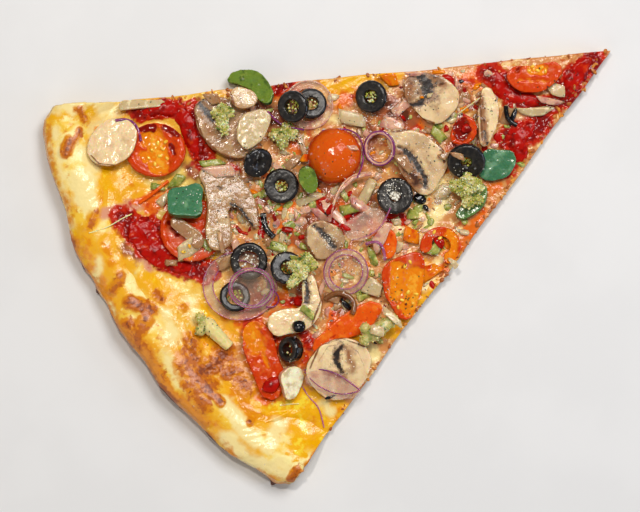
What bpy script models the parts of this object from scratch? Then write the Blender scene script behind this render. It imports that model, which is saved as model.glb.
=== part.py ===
"""A slice of vegetable pizza, cut from an 18 inch pie. Blender 4.5, in metres.

The slice is modelled round the pie's centre, which is its tip: it runs back along -X to the rim. The
dough comes first, then the cheese and the sauce that lie on it. Each topping is then laid on what is
below it, from the lowest to the topmost. At the end the slice is moved so that the bottom centre of
its box is the origin.

Places and outlines of toppings are read on a grid of 0.4 mm squares laid over the slice as seen from
above, with x to the right and y down. The grid is turned against the slice, and on_slice converts.
"""

import math

import bmesh
import bpy
import numpy as np
from mathutils import Matrix, Vector, noise
from mathutils.bvhtree import BVHTree

UP = Vector((0, 0, 1))

# The grid that places are read on, and where the slice's tip is on it
GRID = 0.0004
GRID_TURN = -29.66
GRID_TIP = (612, 50)

# The slice
PIE_RADIUS = 0.2250
HALF_ANGLE = math.radians(23.9)
RIM_SKEW = 0.0048
RIM_WAVE = 0.0008
CORNER_CUT = 0.0055
CORNER_SHARE = 0.94
CUT_WAVE = 0.0009

# Heights of the dough
DOUGH_THICKNESS = 0.0034
DOUGH_BUMP = 0.0004
RIM_HEIGHT = 0.0125
RIM_WIDTH = 0.027
RIM_CREST = 0.60
RIM_LIP = 0.36
UNDERCUT = 0.0020
FLAKE_REACH = 0.0036

# The cheese. Its edge on the rim is given as (degrees from the centre line, distance from the rim's edge)
CHEESE_EDGE = (
    (-23.9, 0.0215),
    (-19.5, 0.0240),
    (-16.0, 0.0125),
    (-11.0, 0.0150),
    (-6.0, 0.0100),
    (0.0, 0.0120),
    (6.0, 0.0095),
    (12.0, 0.0105),
    (15.0, 0.0170),
    (19.0, 0.0250),
    (23.9, 0.0330),
)
CHEESE_THICKNESS = 0.0017
CHEESE_LUMP = 0.0007
CHEESE_LIP = 0.0006

# Rows of the dough's and the cheese's triangles, and the share of the rim at which each outer row lies
CHEESE_ROWS = 29
RIM_ROWS = (0.22, 0.42, 0.60, 0.75, 0.87, 0.95, 1.0)

# Clearance between two pieces, and the cell of the grid of heights that they are laid with
GAP = 0.0003
CELL = 0.0005
MOST_SHIFT = 0.0010
SAUCE_REACH = 2

# Straight pieces between two points of a slice's outline
OUTLINE_STEPS = 3

# Flecks of burnt dough that stick out under the rim, as (degrees from the centre line, width in degrees)
FLAKES = ((6.5, 1.3), (3.6, 2.2), (-0.4, 0.8), (-11.0, 1.6), (-22.2, 1.2))


def clear_scene():
    for obj in list(bpy.data.objects):
        bpy.data.objects.remove(obj)


def new_collection(name):
    collection = bpy.data.collections.new(name)
    bpy.context.scene.collection.children.link(collection)
    return collection


def finish(name, colour, roughness):
    """A Principled material of one colour."""
    material = bpy.data.materials.new(name)
    material.use_nodes = True
    shader = material.node_tree.nodes["Principled BSDF"]
    shader.inputs["Base Color"].default_value = (*colour, 1)
    shader.inputs["Roughness"].default_value = roughness
    shader.inputs["Metallic"].default_value = 0
    return material


clear_scene()
SLICE = new_collection("pizza_slice")
CUTTERS = new_collection("pizza_slice_cutters")
CRUST = finish("baked_dough", (0.78, 0.50, 0.19), 0.55)
CHEESE = finish("melted_cheese", (0.86, 0.60, 0.24), 0.35)
SAUCE = finish("crushed_tomato", (0.50, 0.02, 0.01), 0.35)
OLIVE = finish("black_olive", (0.012, 0.012, 0.014), 0.30)
MUSHROOM = finish("mushroom_flesh", (0.62, 0.44, 0.30), 0.45)
TOMATO = finish("ripe_tomato", (0.72, 0.08, 0.01), 0.25)
RED_PEPPER = finish("red_pepper", (0.66, 0.06, 0.02), 0.30)
GREEN_PEPPER = finish("green_pepper", (0.05, 0.22, 0.05), 0.30)
BROCCOLI = finish("broccoli", (0.24, 0.30, 0.04), 0.60)
ONION = finish("red_onion", (0.50, 0.22, 0.26), 0.30)
GARLIC = finish("garlic_flesh", (0.80, 0.62, 0.38), 0.40)


def link(name, data, material):
    obj = bpy.data.objects.new(name, data)
    data.materials.append(material)
    SLICE.objects.link(obj)
    return obj


def mesh_object(name, bm, material):
    """An object from a bmesh, whose normals are first made to point out."""
    bmesh.ops.recalc_face_normals(bm, faces=bm.faces[:])
    mesh = bpy.data.meshes.new(name)
    bm.to_mesh(mesh)
    bm.free()
    return link(name, mesh, material)


def on_slice(x, y):
    """The point of the slice, as (x, y) in metres from its tip, at a place on the grid."""
    across, up = (x - GRID_TIP[0]) * GRID, (GRID_TIP[1] - y) * GRID
    turn = math.radians(GRID_TURN)
    return across * math.cos(turn) - up * math.sin(turn), across * math.sin(turn) + up * math.cos(turn)


def smooth_step(share):
    share = min(1.0, max(0.0, share))
    return share * share * (3 - 2 * share)


def bump(x, y, size, seed=0.0):
    """Smooth noise from about -1 to 1, whose lumps are size across."""
    return 1.6 * noise.noise(Vector((x / size, y / size, seed)))


def rim_radius(angle):
    """Distance from the tip to the rim's outer edge."""
    share = angle / HALF_ANGLE
    corner = max(0.0, (abs(share) - CORNER_SHARE) / (1 - CORNER_SHARE))
    wave = math.sin(9 * share) + math.sin(17 * share + 1)
    return PIE_RADIUS + RIM_SKEW * share + RIM_WAVE * wave - CORNER_CUT * corner**2


def cheese_radius(angle):
    """Distance from the tip to the edge of the cheese."""
    degrees, inset = zip(*CHEESE_EDGE)
    return rim_radius(angle) - float(np.interp(math.degrees(angle), degrees, inset))


def dough_height(radius, angle):
    """Height of the dough's upper side: flat, then up over the rim and down its outer side."""
    x, y = -radius * math.cos(angle), radius * math.sin(angle)
    flat = DOUGH_THICKNESS + DOUGH_BUMP * bump(x, y, 0.018)
    share = 1 - (rim_radius(angle) - radius) / RIM_WIDTH
    if share <= 0:
        return flat
    if share < RIM_CREST:
        shape = smooth_step(share / RIM_CREST)
    else:
        outer = (share - RIM_CREST) / (1 - RIM_CREST)
        shape = RIM_LIP + (1 - RIM_LIP) * math.sqrt(max(0.0, 1 - outer**2.4))
    blister = 1 + 0.10 * bump(x, y, 0.024, 3.0)
    return flat + (RIM_HEIGHT * blister - flat) * shape


def flake_reach(angle):
    """How far the burnt underside sticks out beyond the rim."""
    reach = 0.0
    for middle, width in FLAKES:
        away = (math.degrees(angle) - middle) / (width / 2)
        reach = max(reach, FLAKE_REACH * math.sqrt(max(0.0, 1 - away**2)))
    return reach


def cut_wave(radius, share):
    """Sideways waver of the two cut edges, which fades towards the centre line."""
    return CUT_WAVE * bump(radius, share, 0.022, 5.0) * abs(share) ** 6 * min(1.0, radius / 0.02)


def triangle_sheet(rows):
    """A triangle with its tip at x = 0 and its far side at x = 1, cut into rows of small triangles."""
    bm = bmesh.new()
    bmesh.ops.create_circle(bm, segments=3, radius=1, cap_ends=True)
    for vertex, corner in zip(bm.verts, ((0, 0, 0), (1, -1, 0), (1, 1, 0))):
        vertex.co = corner
    bmesh.ops.subdivide_edges(bm, edges=bm.edges[:], cuts=rows - 1, use_grid_fill=True)
    return bm


def slab(bm, lower, upper):
    """Turns a flat sheet into a closed slab. lower and upper give each side's point for a sheet point."""
    made = bmesh.ops.extrude_face_region(bm, geom=bm.faces[:])
    raised = {item for item in made["geom"] if isinstance(item, bmesh.types.BMVert)}
    for vertex in bm.verts:
        vertex.co = (upper if vertex in raised else lower)(vertex.co.x, vertex.co.y)


def slice_spot(row, share):
    """(radius, angle) of a row of the slice at share, from -1 to 1, of its half angle."""
    angle = share * HALF_ANGLE
    edge = cheese_radius(angle)
    if row <= CHEESE_ROWS:
        return edge * row / CHEESE_ROWS, angle
    rim = RIM_ROWS[row - CHEESE_ROWS - 1]
    return edge + (rim_radius(angle) - edge) * rim, angle


def slice_point(radius, angle, height, reach=0.0):
    share = angle / HALF_ANGLE
    side = radius * math.sin(angle) + cut_wave(radius, share)
    return Vector((-radius * math.cos(angle) - reach, side, height))


def build_crust():
    """The baked dough: a flat base with a raised rim, and a flat underside."""
    rows = CHEESE_ROWS + len(RIM_ROWS)
    sheet = triangle_sheet(rows)

    def spot(s, t):
        return slice_spot(round(s * rows), t / s if s else 0.0)

    def upper(s, t):
        radius, angle = spot(s, t)
        return slice_point(radius, angle, dough_height(radius, angle))

    def lower(s, t):
        radius, angle = spot(s, t)
        if round(s * rows) < rows:
            return slice_point(min(radius, rim_radius(angle) - 2 * UNDERCUT), angle, 0.0)
        return slice_point(radius - UNDERCUT, angle, 0.0, flake_reach(angle))

    slab(sheet, lower, upper)
    under = [f for f in sheet.faces if all(v.co.z == 0 for v in f.verts)]
    rim = {v for f in under for v in f.verts if any(e.is_boundary for e in v.link_edges)}
    inner = list({e for f in under for e in f.edges if not rim.intersection(e.verts)})
    bmesh.ops.dissolve_limit(sheet, angle_limit=0.001, verts=[], edges=inner)
    return mesh_object("crust", sheet, CRUST)


def cheese_height(radius, angle):
    """Height of the cheese's upper side: lumpy, and thin at its edge on the rim."""
    x, y = -radius * math.cos(angle), radius * math.sin(angle)
    lumps = CHEESE_LUMP * (bump(x, y, 0.014, 7.0) + 0.6 * bump(x, y, 0.030, 9.0))
    edge = smooth_step((cheese_radius(angle) - radius) / 0.012)
    thickness = CHEESE_LIP + (CHEESE_THICKNESS - CHEESE_LIP + lumps) * edge
    return dough_height(radius, angle) + GAP + max(CHEESE_LIP, thickness)


def build_cheese():
    """The melted cheese, one layer whose triangles stand on the dough's own, so that it lies close."""
    sheet = triangle_sheet(CHEESE_ROWS)

    def upper(s, t):
        radius, angle = slice_spot(round(s * CHEESE_ROWS), t / s if s else 0.0)
        return slice_point(radius, angle, cheese_height(radius, angle))

    def lower(s, t):
        radius, angle = slice_spot(round(s * CHEESE_ROWS), t / s if s else 0.0)
        return slice_point(radius, angle, dough_height(radius, angle) + GAP)

    slab(sheet, lower, upper)
    return mesh_object("cheese", sheet, CHEESE)


def evaluated(obj):
    """(points, polygons) of the object's evaluated mesh, in its own space."""
    bpy.context.view_layer.update()
    graph = bpy.context.evaluated_depsgraph_get()
    mesh = obj.evaluated_get(graph).to_mesh()
    points = np.array([v.co for v in mesh.vertices])
    polygons = [tuple(p.vertices) for p in mesh.polygons]
    obj.evaluated_get(graph).to_mesh_clear()
    return points, polygons


class Pile:
    """The heights of all that lies so far, on a grid of cells seen from above."""

    def __init__(self, back, side):
        self.corner = Vector((-back, -side))
        self.height = np.zeros((int((back + 0.012) / CELL), int(2 * side / CELL)))

    def window(self, points):
        """The cells under the points, as two ranges."""
        low = (points[:, :2].min(axis=0) - np.array(self.corner)) / CELL
        high = (points[:, :2].max(axis=0) - np.array(self.corner)) / CELL
        starts = np.maximum(np.floor(low).astype(int) - 2, 0)
        stops = np.minimum(np.ceil(high).astype(int) + 3, self.height.shape)
        return range(starts[0], stops[0]), range(starts[1], stops[1])

    def scan(self, points, polygons, stride, direction):
        """The lowest (direction 1) or highest (-1) face over each cell, as (column, row, height)."""
        tree = BVHTree.FromPolygons([Vector(p) for p in points], polygons)
        columns, rows = self.window(points)
        for i in columns[::stride]:
            for j in rows[::stride]:
                start = Vector((self.corner.x + i * CELL, self.corner.y + j * CELL, -direction))
                hit = tree.ray_cast(start, UP * direction)[0]
                if hit is not None:
                    yield i, j, hit.z

    def rise(self, points, polygons, stride):
        """How far the piece has to rise to clear what lies below it."""
        found = (self.height[i, j] - low for i, j, low in self.scan(points, polygons, stride, 1))
        return max(found, default=0.0) + GAP

    def add(self, points, polygons, spread=1):
        """Adds a piece that is in place, a cell wider all round so that the next one keeps clear."""
        tops = np.zeros_like(self.height)
        for i, j, top in self.scan(points, polygons, 1, -1):
            part = tops[max(i - spread, 0) : i + spread + 1, max(j - spread, 0) : j + spread + 1]
            np.maximum(part, top, out=part)
        self.height = np.maximum(self.height, tops)

    def height_at(self, x, y, reach):
        """The greatest height within reach cells of a point."""
        i, j = round((x - self.corner.x) / CELL), round((y - self.corner.y) / CELL)
        return self.height[i - reach : i + reach + 1, j - reach : j + reach + 1].max()


PILE = Pile(back=0.245, side=0.105)


def seat(place, shift, tilt, heading, height=0.0):
    """The matrix of a piece, turned to its heading and then tilted by the sideways part of its normal."""
    normal = Vector((tilt[0], tilt[1], 1)).normalized()
    turn = UP.rotation_difference(normal).to_matrix() @ Matrix.Rotation(heading, 3, "Z")
    x, y = on_slice(*place)
    return Matrix.Translation((x + shift[0], y + shift[1], height)) @ turn.to_4x4()


def moved(matrix, points):
    array = np.array(matrix)
    return points @ array[:3, :3].T + array[:3, 3]


def lay(obj, place, heading=0.0, lean=None):
    """Lays a piece on the pile at its place on the grid and its heading, in degrees.

    It slides and tilts a little until it lies as low as it can. With lean, the sideways part of its
    normal, it keeps that tilt and only slides.
    """
    points, polygons = evaluated(obj)
    points = points - (points.min(axis=0) + points.max(axis=0)) / 2
    heading = math.radians(heading)

    def drop(state, stride):
        tilt, shift = state[:2], state[2:]
        return PILE.rise(moved(seat(place, shift, tilt, heading), points), polygons, stride)

    state = [*(lean or (0.0, 0.0)), 0.0, 0.0]
    lowest = drop(state, 3)
    for tilt_step, shift_step in ((0.12, 0.0010), (0.06, 0.0005), (0.03, 0.0003)):
        steps = (0, 0, shift_step, shift_step) if lean else (tilt_step, tilt_step, shift_step, shift_step)
        moves = [(axis, sign * step) for axis, step in enumerate(steps) if step for sign in (1, -1)]
        for _ in range(4):
            best = None
            for axis, step in moves:
                trial = list(state)
                trial[axis] += step
                if math.hypot(*trial[2:]) > MOST_SHIFT:
                    continue
                height = drop(trial, 3)
                if height < lowest - 0.00002:
                    lowest, best = height, trial
            if best is None:
                break
            state = best
    height = drop(state, 1)
    matrix = seat(place, state[2:], state[:2], heading, height)
    centre(obj)
    obj.matrix_world = matrix
    PILE.add(moved(matrix, points), polygons)
    print(f"{obj.name}: lies at {height * 1000:.1f} mm")
    return obj


def centre(obj):
    """Moves the object's own data so that the middle of its box is at its origin."""
    points, _ = evaluated(obj)
    middle = (points.min(axis=0) + points.max(axis=0)) / 2
    obj.data.transform(Matrix.Translation(-Vector(middle)))


# Ways of making a piece


def turned(name, profile, material, steps, stretch=(1, 1)):
    """A round piece: a profile of (radius, height) points turned about Z, then stretched across."""
    bm = bmesh.new()
    points = [bm.verts.new((radius * stretch[0], 0, height)) for radius, height in profile]
    closed = profile[0][0] > 0
    for first, second in zip(points, points[1:] + points[:1] if closed else points[1:]):
        bm.edges.new((first, second))
    mesh = bpy.data.meshes.new(name)
    bm.to_mesh(mesh)
    bm.free()
    obj = link(name, mesh, material)
    screw = obj.modifiers.new("turn", "SCREW")
    screw.steps = screw.render_steps = steps
    screw.use_merge_vertices = True
    screw.merge_threshold = 0.00001
    screw.use_smooth_shade = True
    if stretch[0] != stretch[1]:
        squash(obj, stretch[1] / stretch[0])
    return obj


def squash(obj, share):
    """Applies the object's modifiers and scales it along Y."""
    graph = bpy.context.evaluated_depsgraph_get()
    mesh = bpy.data.meshes.new_from_object(obj.evaluated_get(graph))
    obj.modifiers.clear()
    obj.data = mesh
    mesh.transform(Matrix.Diagonal((1, share, 1, 1)))


def flat_piece(name, outline, thickness, material):
    """A flat slice: a smooth closed curve through the outline's points, filled and given its thickness."""
    curve = bpy.data.curves.new(name, "CURVE")
    curve.dimensions = "2D"
    curve.fill_mode = "BOTH"
    curve.extrude = thickness / 2
    curve.resolution_u = OUTLINE_STEPS
    spline = curve.splines.new("BEZIER")
    spline.bezier_points.add(len(outline) - 1)
    for point, (x, y) in zip(spline.bezier_points, outline):
        point.co = (x, y, 0)
        point.handle_left_type = point.handle_right_type = "AUTO"
    spline.use_cyclic_u = True
    return link(name, curve, material)


def strand(name, points, radius, material):
    """A thin round strip along points of (x, y)."""
    curve = bpy.data.curves.new(name, "CURVE")
    curve.dimensions = "3D"
    curve.bevel_depth = radius
    curve.bevel_resolution = 1
    curve.use_fill_caps = True
    spline = curve.splines.new("POLY")
    spline.points.add(len(points) - 1)
    for point, (x, y) in zip(spline.points, points):
        point.co = (x, y, 0, 1)
    return link(name, curve, material)


def arc(radius_x, radius_y, start, stop, steps, middle=(0, 0)):
    """Points of an elliptical arc between two angles in degrees."""
    angles = [math.radians(start + (stop - start) * k / (steps - 1)) for k in range(steps)]
    return [(middle[0] + radius_x * math.cos(a), middle[1] + radius_y * math.sin(a)) for a in angles]


# Sauce


def build_sauce(name, path, thickness):
    """A dollop of crushed tomato, lying close on the cheese, along a path of (x, y, width) on the grid."""
    bm = bmesh.new()
    bmesh.ops.create_grid(bm, x_segments=3 * len(path), y_segments=4, size=1)
    places = np.array([(*on_slice(x, y), width * GRID) for x, y, width in path])
    stations = np.linspace(-1, 1, len(path))

    def along(s):
        return [float(np.interp(s, stations, places[:, k])) for k in range(3)]

    def spread(s, t):
        """The point of the pile under this point of the sheet, and its share of the full thickness."""
        x, y, width = along(s)
        ahead, behind = along(min(1.0, s + 0.1)), along(max(-1.0, s - 0.1))
        run = Vector((ahead[0] - behind[0], ahead[1] - behind[1])).normalized()
        taper = math.sqrt(max(0.0, 1 - s**4)) * 0.7 + 0.3
        reach = t * width / 2 * taper * (1 + 0.28 * bump(s * 2.2, t, 1.0, thickness * 10000))
        x, y = x - run.y * reach, y + run.x * reach
        return x, y, PILE.height_at(x, y, SAUCE_REACH), (1 - s**6) * (1 - t**4)

    def lower(s, t):
        x, y, floor, _ = spread(s, t)
        return Vector((x, y, floor))

    def upper(s, t):
        x, y, floor, share = spread(s, t)
        lumps = 1 + 0.35 * bump(x, y, 0.005, 2.0)
        return Vector((x, y, floor + 0.0005 + thickness * share * lumps))

    slab(bm, lower, upper)
    obj = mesh_object(name, bm, SAUCE)
    points, polygons = evaluated(obj)
    obj.location.z = PILE.rise(points, polygons, 1)
    PILE.add(points + np.array(obj.location), polygons)
    print(f"{name}: raised {obj.location.z * 1000:.1f} mm")
    return obj


# Toppings


def build_olive_ring(name, radius, hole, thickness, cone=0.94):
    """A ring of black olive, with a rounded skin and a slightly narrower underside."""
    half = thickness / 2
    round_off = 0.0009
    profile = [
        (hole, half - 0.0002),
        (radius - round_off, half),
        (radius, half - round_off),
        (radius * cone, -half + round_off),
        (radius * cone - round_off, -half),
        (hole, -half),
    ]
    return turned(name, profile, OLIVE, steps=16)


def build_olive_end(name, radius, depth):
    """The end of an olive, with its cut face up: a dome below, and a small dimple in the cut."""
    angles = [math.radians(degrees) for degrees in (90, 62, 38, 16)]
    dome = [(radius * math.cos(a), -depth * math.sin(a)) for a in angles]
    dome[0] = (0.0, -depth)
    cut = [(0.0, -0.0012), (radius * 0.42, 0.0), (radius - 0.0006, 0.0), (radius, -0.0005)]
    profile = [*cut, *reversed(dome)]
    return turned(name, profile, OLIVE, steps=16)


def lay_slice(name, thickness, material):
    """A flat slice, laid in the place that its outline has on the grid."""
    outline = OUTLINES[name]
    columns, rows = zip(*outline)
    middle = (min(columns) + max(columns)) / 2, (min(rows) + max(rows)) / 2
    shape = [((x - middle[0]) * GRID, (middle[1] - y) * GRID) for x, y in outline]
    return lay(flat_piece(name, shape, thickness, material), middle, GRID_TURN)


def build_tomato_slice(name, radius, wall, thickness, stretch=(1, 1)):
    """A round slice of tomato: a raised wall of flesh round softer, lower pulp."""
    half = thickness / 2
    sunk = half - 0.0009
    profile = [
        (0.0, sunk + 0.0003),
        (radius - wall, sunk),
        (radius - wall * 0.7, half),
        (radius - 0.0008, half - 0.0001),
        (radius, half - 0.0010),
        (radius - 0.0002, -half + 0.0008),
        (radius - 0.0010, -half),
        (0.0, -half),
    ]
    return turned(name, profile, TOMATO, steps=20, stretch=stretch)


def build_tomato_dome(name, radius, height):
    """Half a cherry tomato, cut side down."""
    angles = [math.radians(degrees) for degrees in (90, 72, 54, 37, 20, 5)]
    dome = [(radius * math.cos(a), height * math.sin(a)) for a in angles]
    dome[0] = (0.0, height)
    profile = [*dome, (radius * 0.985, -0.0012), (radius * 0.93, -0.0020), (0.0, -0.0020)]
    return turned(name, profile, TOMATO, steps=22, stretch=(1.0, 0.97))


def build_onion_ring(name, radius, wall, thickness, stretch=(1, 1), steps=22):
    """A ring cut from one layer of onion."""
    half = thickness / 2
    inner = radius - wall
    profile = [(inner, half * 0.8), (radius, half), (radius * 0.985, -half), (inner, -half * 0.8)]
    return turned(name, profile, ONION, steps=steps, stretch=stretch)


def build_floret(name, lumps, stalk):
    """A broccoli floret: round heads of buds and a stalk, joined into one solid.

    lumps are (x, y, z, radius) and stalk is (length, heading in degrees, radius), which runs out of
    the first head.
    """
    collection = new_collection(name + "_heads")
    bm = bmesh.new()
    bmesh.ops.create_icosphere(bm, subdivisions=1, radius=lumps[0][3])
    bmesh.ops.translate(bm, verts=bm.verts[:], vec=lumps[0][:3])
    obj = mesh_object(name, bm, BROCCOLI)
    parts = []
    for x, y, z, radius in lumps[1:]:
        bm = bmesh.new()
        bmesh.ops.create_icosphere(bm, subdivisions=1, radius=radius)
        turn = Matrix.Rotation(x * 900 + y * 500, 3, "Z")
        bmesh.ops.transform(bm, verts=bm.verts[:], matrix=Matrix.Translation((x, y, z)) @ turn.to_4x4())
        parts.append(bm)
    length, heading, radius = stalk
    bm = bmesh.new()
    bmesh.ops.create_cone(
        bm, cap_ends=True, segments=8, radius1=radius * 1.2, radius2=radius * 0.8, depth=length
    )
    lie = Matrix.Rotation(math.radians(heading), 4, "Z") @ Matrix.Rotation(math.pi / 2, 4, "Y")
    way = Vector((math.cos(math.radians(heading)), math.sin(math.radians(heading)), 0)) * length / 2
    bmesh.ops.transform(bm, verts=bm.verts[:], matrix=Matrix.Translation(way) @ lie)
    parts.append(bm)
    for number, bm in enumerate(parts):
        mesh = bpy.data.meshes.new(f"{name}_head_{number}")
        bm.to_mesh(mesh)
        bm.free()
        collection.objects.link(bpy.data.objects.new(mesh.name, mesh))
    union = obj.modifiers.new("join", "BOOLEAN")
    union.operation = "UNION"
    union.operand_type = "COLLECTION"
    union.collection = collection
    bpy.context.view_layer.update()
    graph = bpy.context.evaluated_depsgraph_get()
    joined = bpy.data.meshes.new_from_object(obj.evaluated_get(graph))
    obj.modifiers.clear()
    obj.data = joined
    for part in list(collection.objects):
        bpy.data.objects.remove(part)
    bpy.data.collections.remove(collection)
    return obj


# Dollops of sauce, each a path of (x, y, width) on the grid and a thickness

SAUCES = (
    (
        "sauce_left",
        ((131, 219, 18), (143, 229, 34), (150, 242, 34), (162, 255, 28), (178, 266, 20), (196, 272, 16)),
        0.0014,
    ),
    (
        "sauce_upper",
        ((140, 114, 10), (160, 108, 16), (180, 110, 20), (188, 125, 20), (192, 140, 16), (196, 158, 12)),
        0.0013,
    ),
    ("sauce_tip", ((594, 58, 8), (584, 64, 19), (577, 75, 25), (572, 88, 18), (568, 99, 11)), 0.0016),
    (
        "sauce_band",
        ((484, 71, 10), (496, 75, 16), (501, 87, 20), (513, 97, 17), (530, 100, 13), (556, 103, 8)),
        0.0012,
    ),
    ("sauce_side", ((538, 122, 9), (527, 129, 20), (515, 139, 24), (521, 152, 17), (517, 164, 10)), 0.0011),
)

# Outlines of the flat slices, as a few points on the grid that a smooth curve goes through

OUTLINES = {
    "mushroom_upper_left": (
        (195, 105), (194, 122), (202, 141), (218, 155), (238, 160), (255, 149), (254, 126), (236, 105),
        (214, 98),
    ),
    "mushroom_left": (
        (199, 172), (216, 168), (238, 175), (253, 195), (259, 215), (256, 228), (247, 220), (231, 207),
        (231, 228), (231, 243), (214, 251), (206, 241), (207, 208), (204, 188),
    ),
    "mushroom_stem_slice": ((169, 219), (190, 226), (202, 239), (198, 249), (184, 239)),
    "mushroom_top": (
        (403, 79), (401, 94), (413, 112), (432, 125), (449, 115), (457, 97), (449, 84), (428, 74),
    ),
    "mushroom_right": (
        (386, 131), (406, 127), (430, 137), (446, 157), (438, 178), (424, 193), (406, 180), (393, 156),
    ),
    "mushroom_sliver": ((487, 86), (497, 97), (500, 114), (493, 136), (485, 146), (480, 130), (481, 100)),
    "mushroom_centre": ((303, 238), (309, 224), (327, 222), (344, 240), (333, 252), (320, 260), (307, 251)),
    "mushroom_lower": (
        (309, 276), (320, 292), (322, 314), (309, 332), (290, 337), (275, 338), (270, 320), (288, 311),
        (302, 309), (303, 290),
    ),
    "mushroom_round": (
        (305, 368), (314, 348), (332, 336), (353, 336), (369, 350), (368, 369), (355, 389), (333, 397),
        (313, 384),
    ),
    "mushroom_cap_slice": ((90, 158), (97, 132), (118, 121), (136, 128), (138, 148), (124, 166), (104, 169)),
    "mushroom_chunk": ((230, 92), (243, 90), (256, 100), (249, 109), (231, 107)),
    "garlic_clove": ((237, 121), (251, 112), (266, 113), (265, 131), (254, 146), (241, 150)),
    "garlic_slice": ((280, 371), (302, 367), (301, 388), (289, 398), (282, 385)),
    "green_pepper_left": (
        (170, 192), (186, 187), (201, 184), (203, 203), (202, 217), (186, 219), (171, 216), (169, 204),
    ),
    "green_pepper_side": ((487, 150), (502, 149), (517, 152), (515, 170), (505, 178), (482, 175), (485, 162)),
    "green_pepper_crescent": ((484, 187), (488, 203), (476, 218), (458, 221), (461, 211), (474, 201)),
    "green_pepper_edge": ((227, 79), (251, 69), (269, 82), (274, 104), (266, 106), (253, 92), (238, 84)),
    "green_pepper_bit": ((301, 169), (311, 165), (319, 180), (314, 192), (304, 186)),
    "tomato_wedge_tip": ((508, 73), (515, 88), (533, 93), (551, 87), (562, 66), (535, 66)),
    "tomato_slice_side": (
        (383, 266), (400, 256), (419, 253), (423, 272), (417, 300), (405, 320), (389, 305), (381, 283),
    ),
    "tomato_slice_low": ((246, 323), (262, 324), (276, 357), (282, 379), (269, 401), (251, 374), (240, 340)),
    "tomato_bit": ((454, 132), (465, 117), (477, 120), (476, 140), (456, 143)),
    "red_pepper_strip": (
        (312, 344), (327, 325), (348, 308), (380, 300), (379, 312), (356, 332), (335, 337), (316, 349),
    ),
    "red_pepper_short": ((380, 231), (390, 227), (397, 250), (388, 258), (381, 246)),
    "onion_petal": ((344, 232), (360, 216), (378, 210), (388, 222), (376, 236), (357, 243)),
    "onion_leaf": ((303, 374), (325, 368), (346, 376), (360, 389), (340, 397), (318, 388)),
}
ONION_STRAND = ((371, 173), (352, 177), (337, 192), (329, 212), (329, 221))


def build_slice():
    """Makes the dough, the cheese and the sauce, then every topping from the lowest to the topmost."""
    for obj in (build_crust(), build_cheese()):
        PILE.add(*evaluated(obj), spread=0)
    for name, path, thickness in SAUCES:
        build_sauce(name, path, thickness)
    lay_bottom_layer()
    lay_middle_layer()
    lay_top_layer()


def lay_bottom_layer():
    """Pieces that lie straight on the cheese."""
    lay(build_tomato_slice("tomato_slice_left", 0.0110, 0.0036, 0.0040, (1.0, 1.12)), (158, 149), 60)
    lay(build_tomato_slice("tomato_slice_under", 0.0130, 0.0030, 0.0030), (190, 231))
    lay(build_tomato_dome("tomato_half", 0.0114, 0.0088), (334, 156), 40)
    lay_slice("tomato_wedge_tip", 0.0038, TOMATO)
    lay_slice("tomato_slice_side", 0.0036, TOMATO)
    lay_slice("tomato_slice_low", 0.0026, TOMATO)
    lay_slice("red_pepper_strip", 0.0028, RED_PEPPER)
    lay_slice("red_pepper_short", 0.0030, RED_PEPPER)
    lay(build_onion_ring("onion_ring_top", 0.0100, 0.0034, 0.0018), (308, 105))
    wide = build_onion_ring("onion_ring_wide", 0.0152, 0.0044, 0.0013, (1.0, 0.92))
    lay(wide, (241, 288), GRID_TURN)
    lay_slice("mushroom_upper_left", 0.0026, MUSHROOM)
    lay_slice("mushroom_top", 0.0028, MUSHROOM)
    lay_slice("mushroom_sliver", 0.0040, MUSHROOM)
    lay_slice("mushroom_centre", 0.0028, MUSHROOM)
    lay_slice("mushroom_round", 0.0028, MUSHROOM)
    lay_slice("garlic_slice", 0.0026, GARLIC)
    lay_slice("tomato_bit", 0.0040, TOMATO)
    lay_slice("green_pepper_edge", 0.0024, GREEN_PEPPER)


def lay_middle_layer():
    """Pieces that lie partly on the cheese and partly on other pieces."""
    lay_slice("mushroom_left", 0.0028, MUSHROOM)
    lay_slice("mushroom_stem_slice", 0.0026, MUSHROOM)
    lay_slice("green_pepper_left", 0.0030, GREEN_PEPPER)
    lay_slice("mushroom_right", 0.0030, MUSHROOM)
    lay_slice("mushroom_lower", 0.0028, MUSHROOM)
    lay_slice("mushroom_cap_slice", 0.0022, MUSHROOM)
    lay_slice("mushroom_chunk", 0.0040, MUSHROOM)
    lay_slice("garlic_clove", 0.0040, GARLIC)
    lay_slice("green_pepper_side", 0.0028, GREEN_PEPPER)
    lay_slice("green_pepper_crescent", 0.0040, GREEN_PEPPER)
    violet = build_onion_ring("onion_ring_violet", 0.0066, 0.0014, 0.0022, (1.0, 1.1), 18)
    lay(violet, (382, 147), GRID_TURN)
    lay_slice("onion_petal", 0.0014, ONION)
    ring = [*arc(0.0080, 0.0076, -70, 200, 8), *arc(0.0040, 0.0038, 200, -70, 6)]
    lay(flat_piece("tomato_ring", ring, 0.0032, TOMATO), (439, 243), GRID_TURN)


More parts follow.
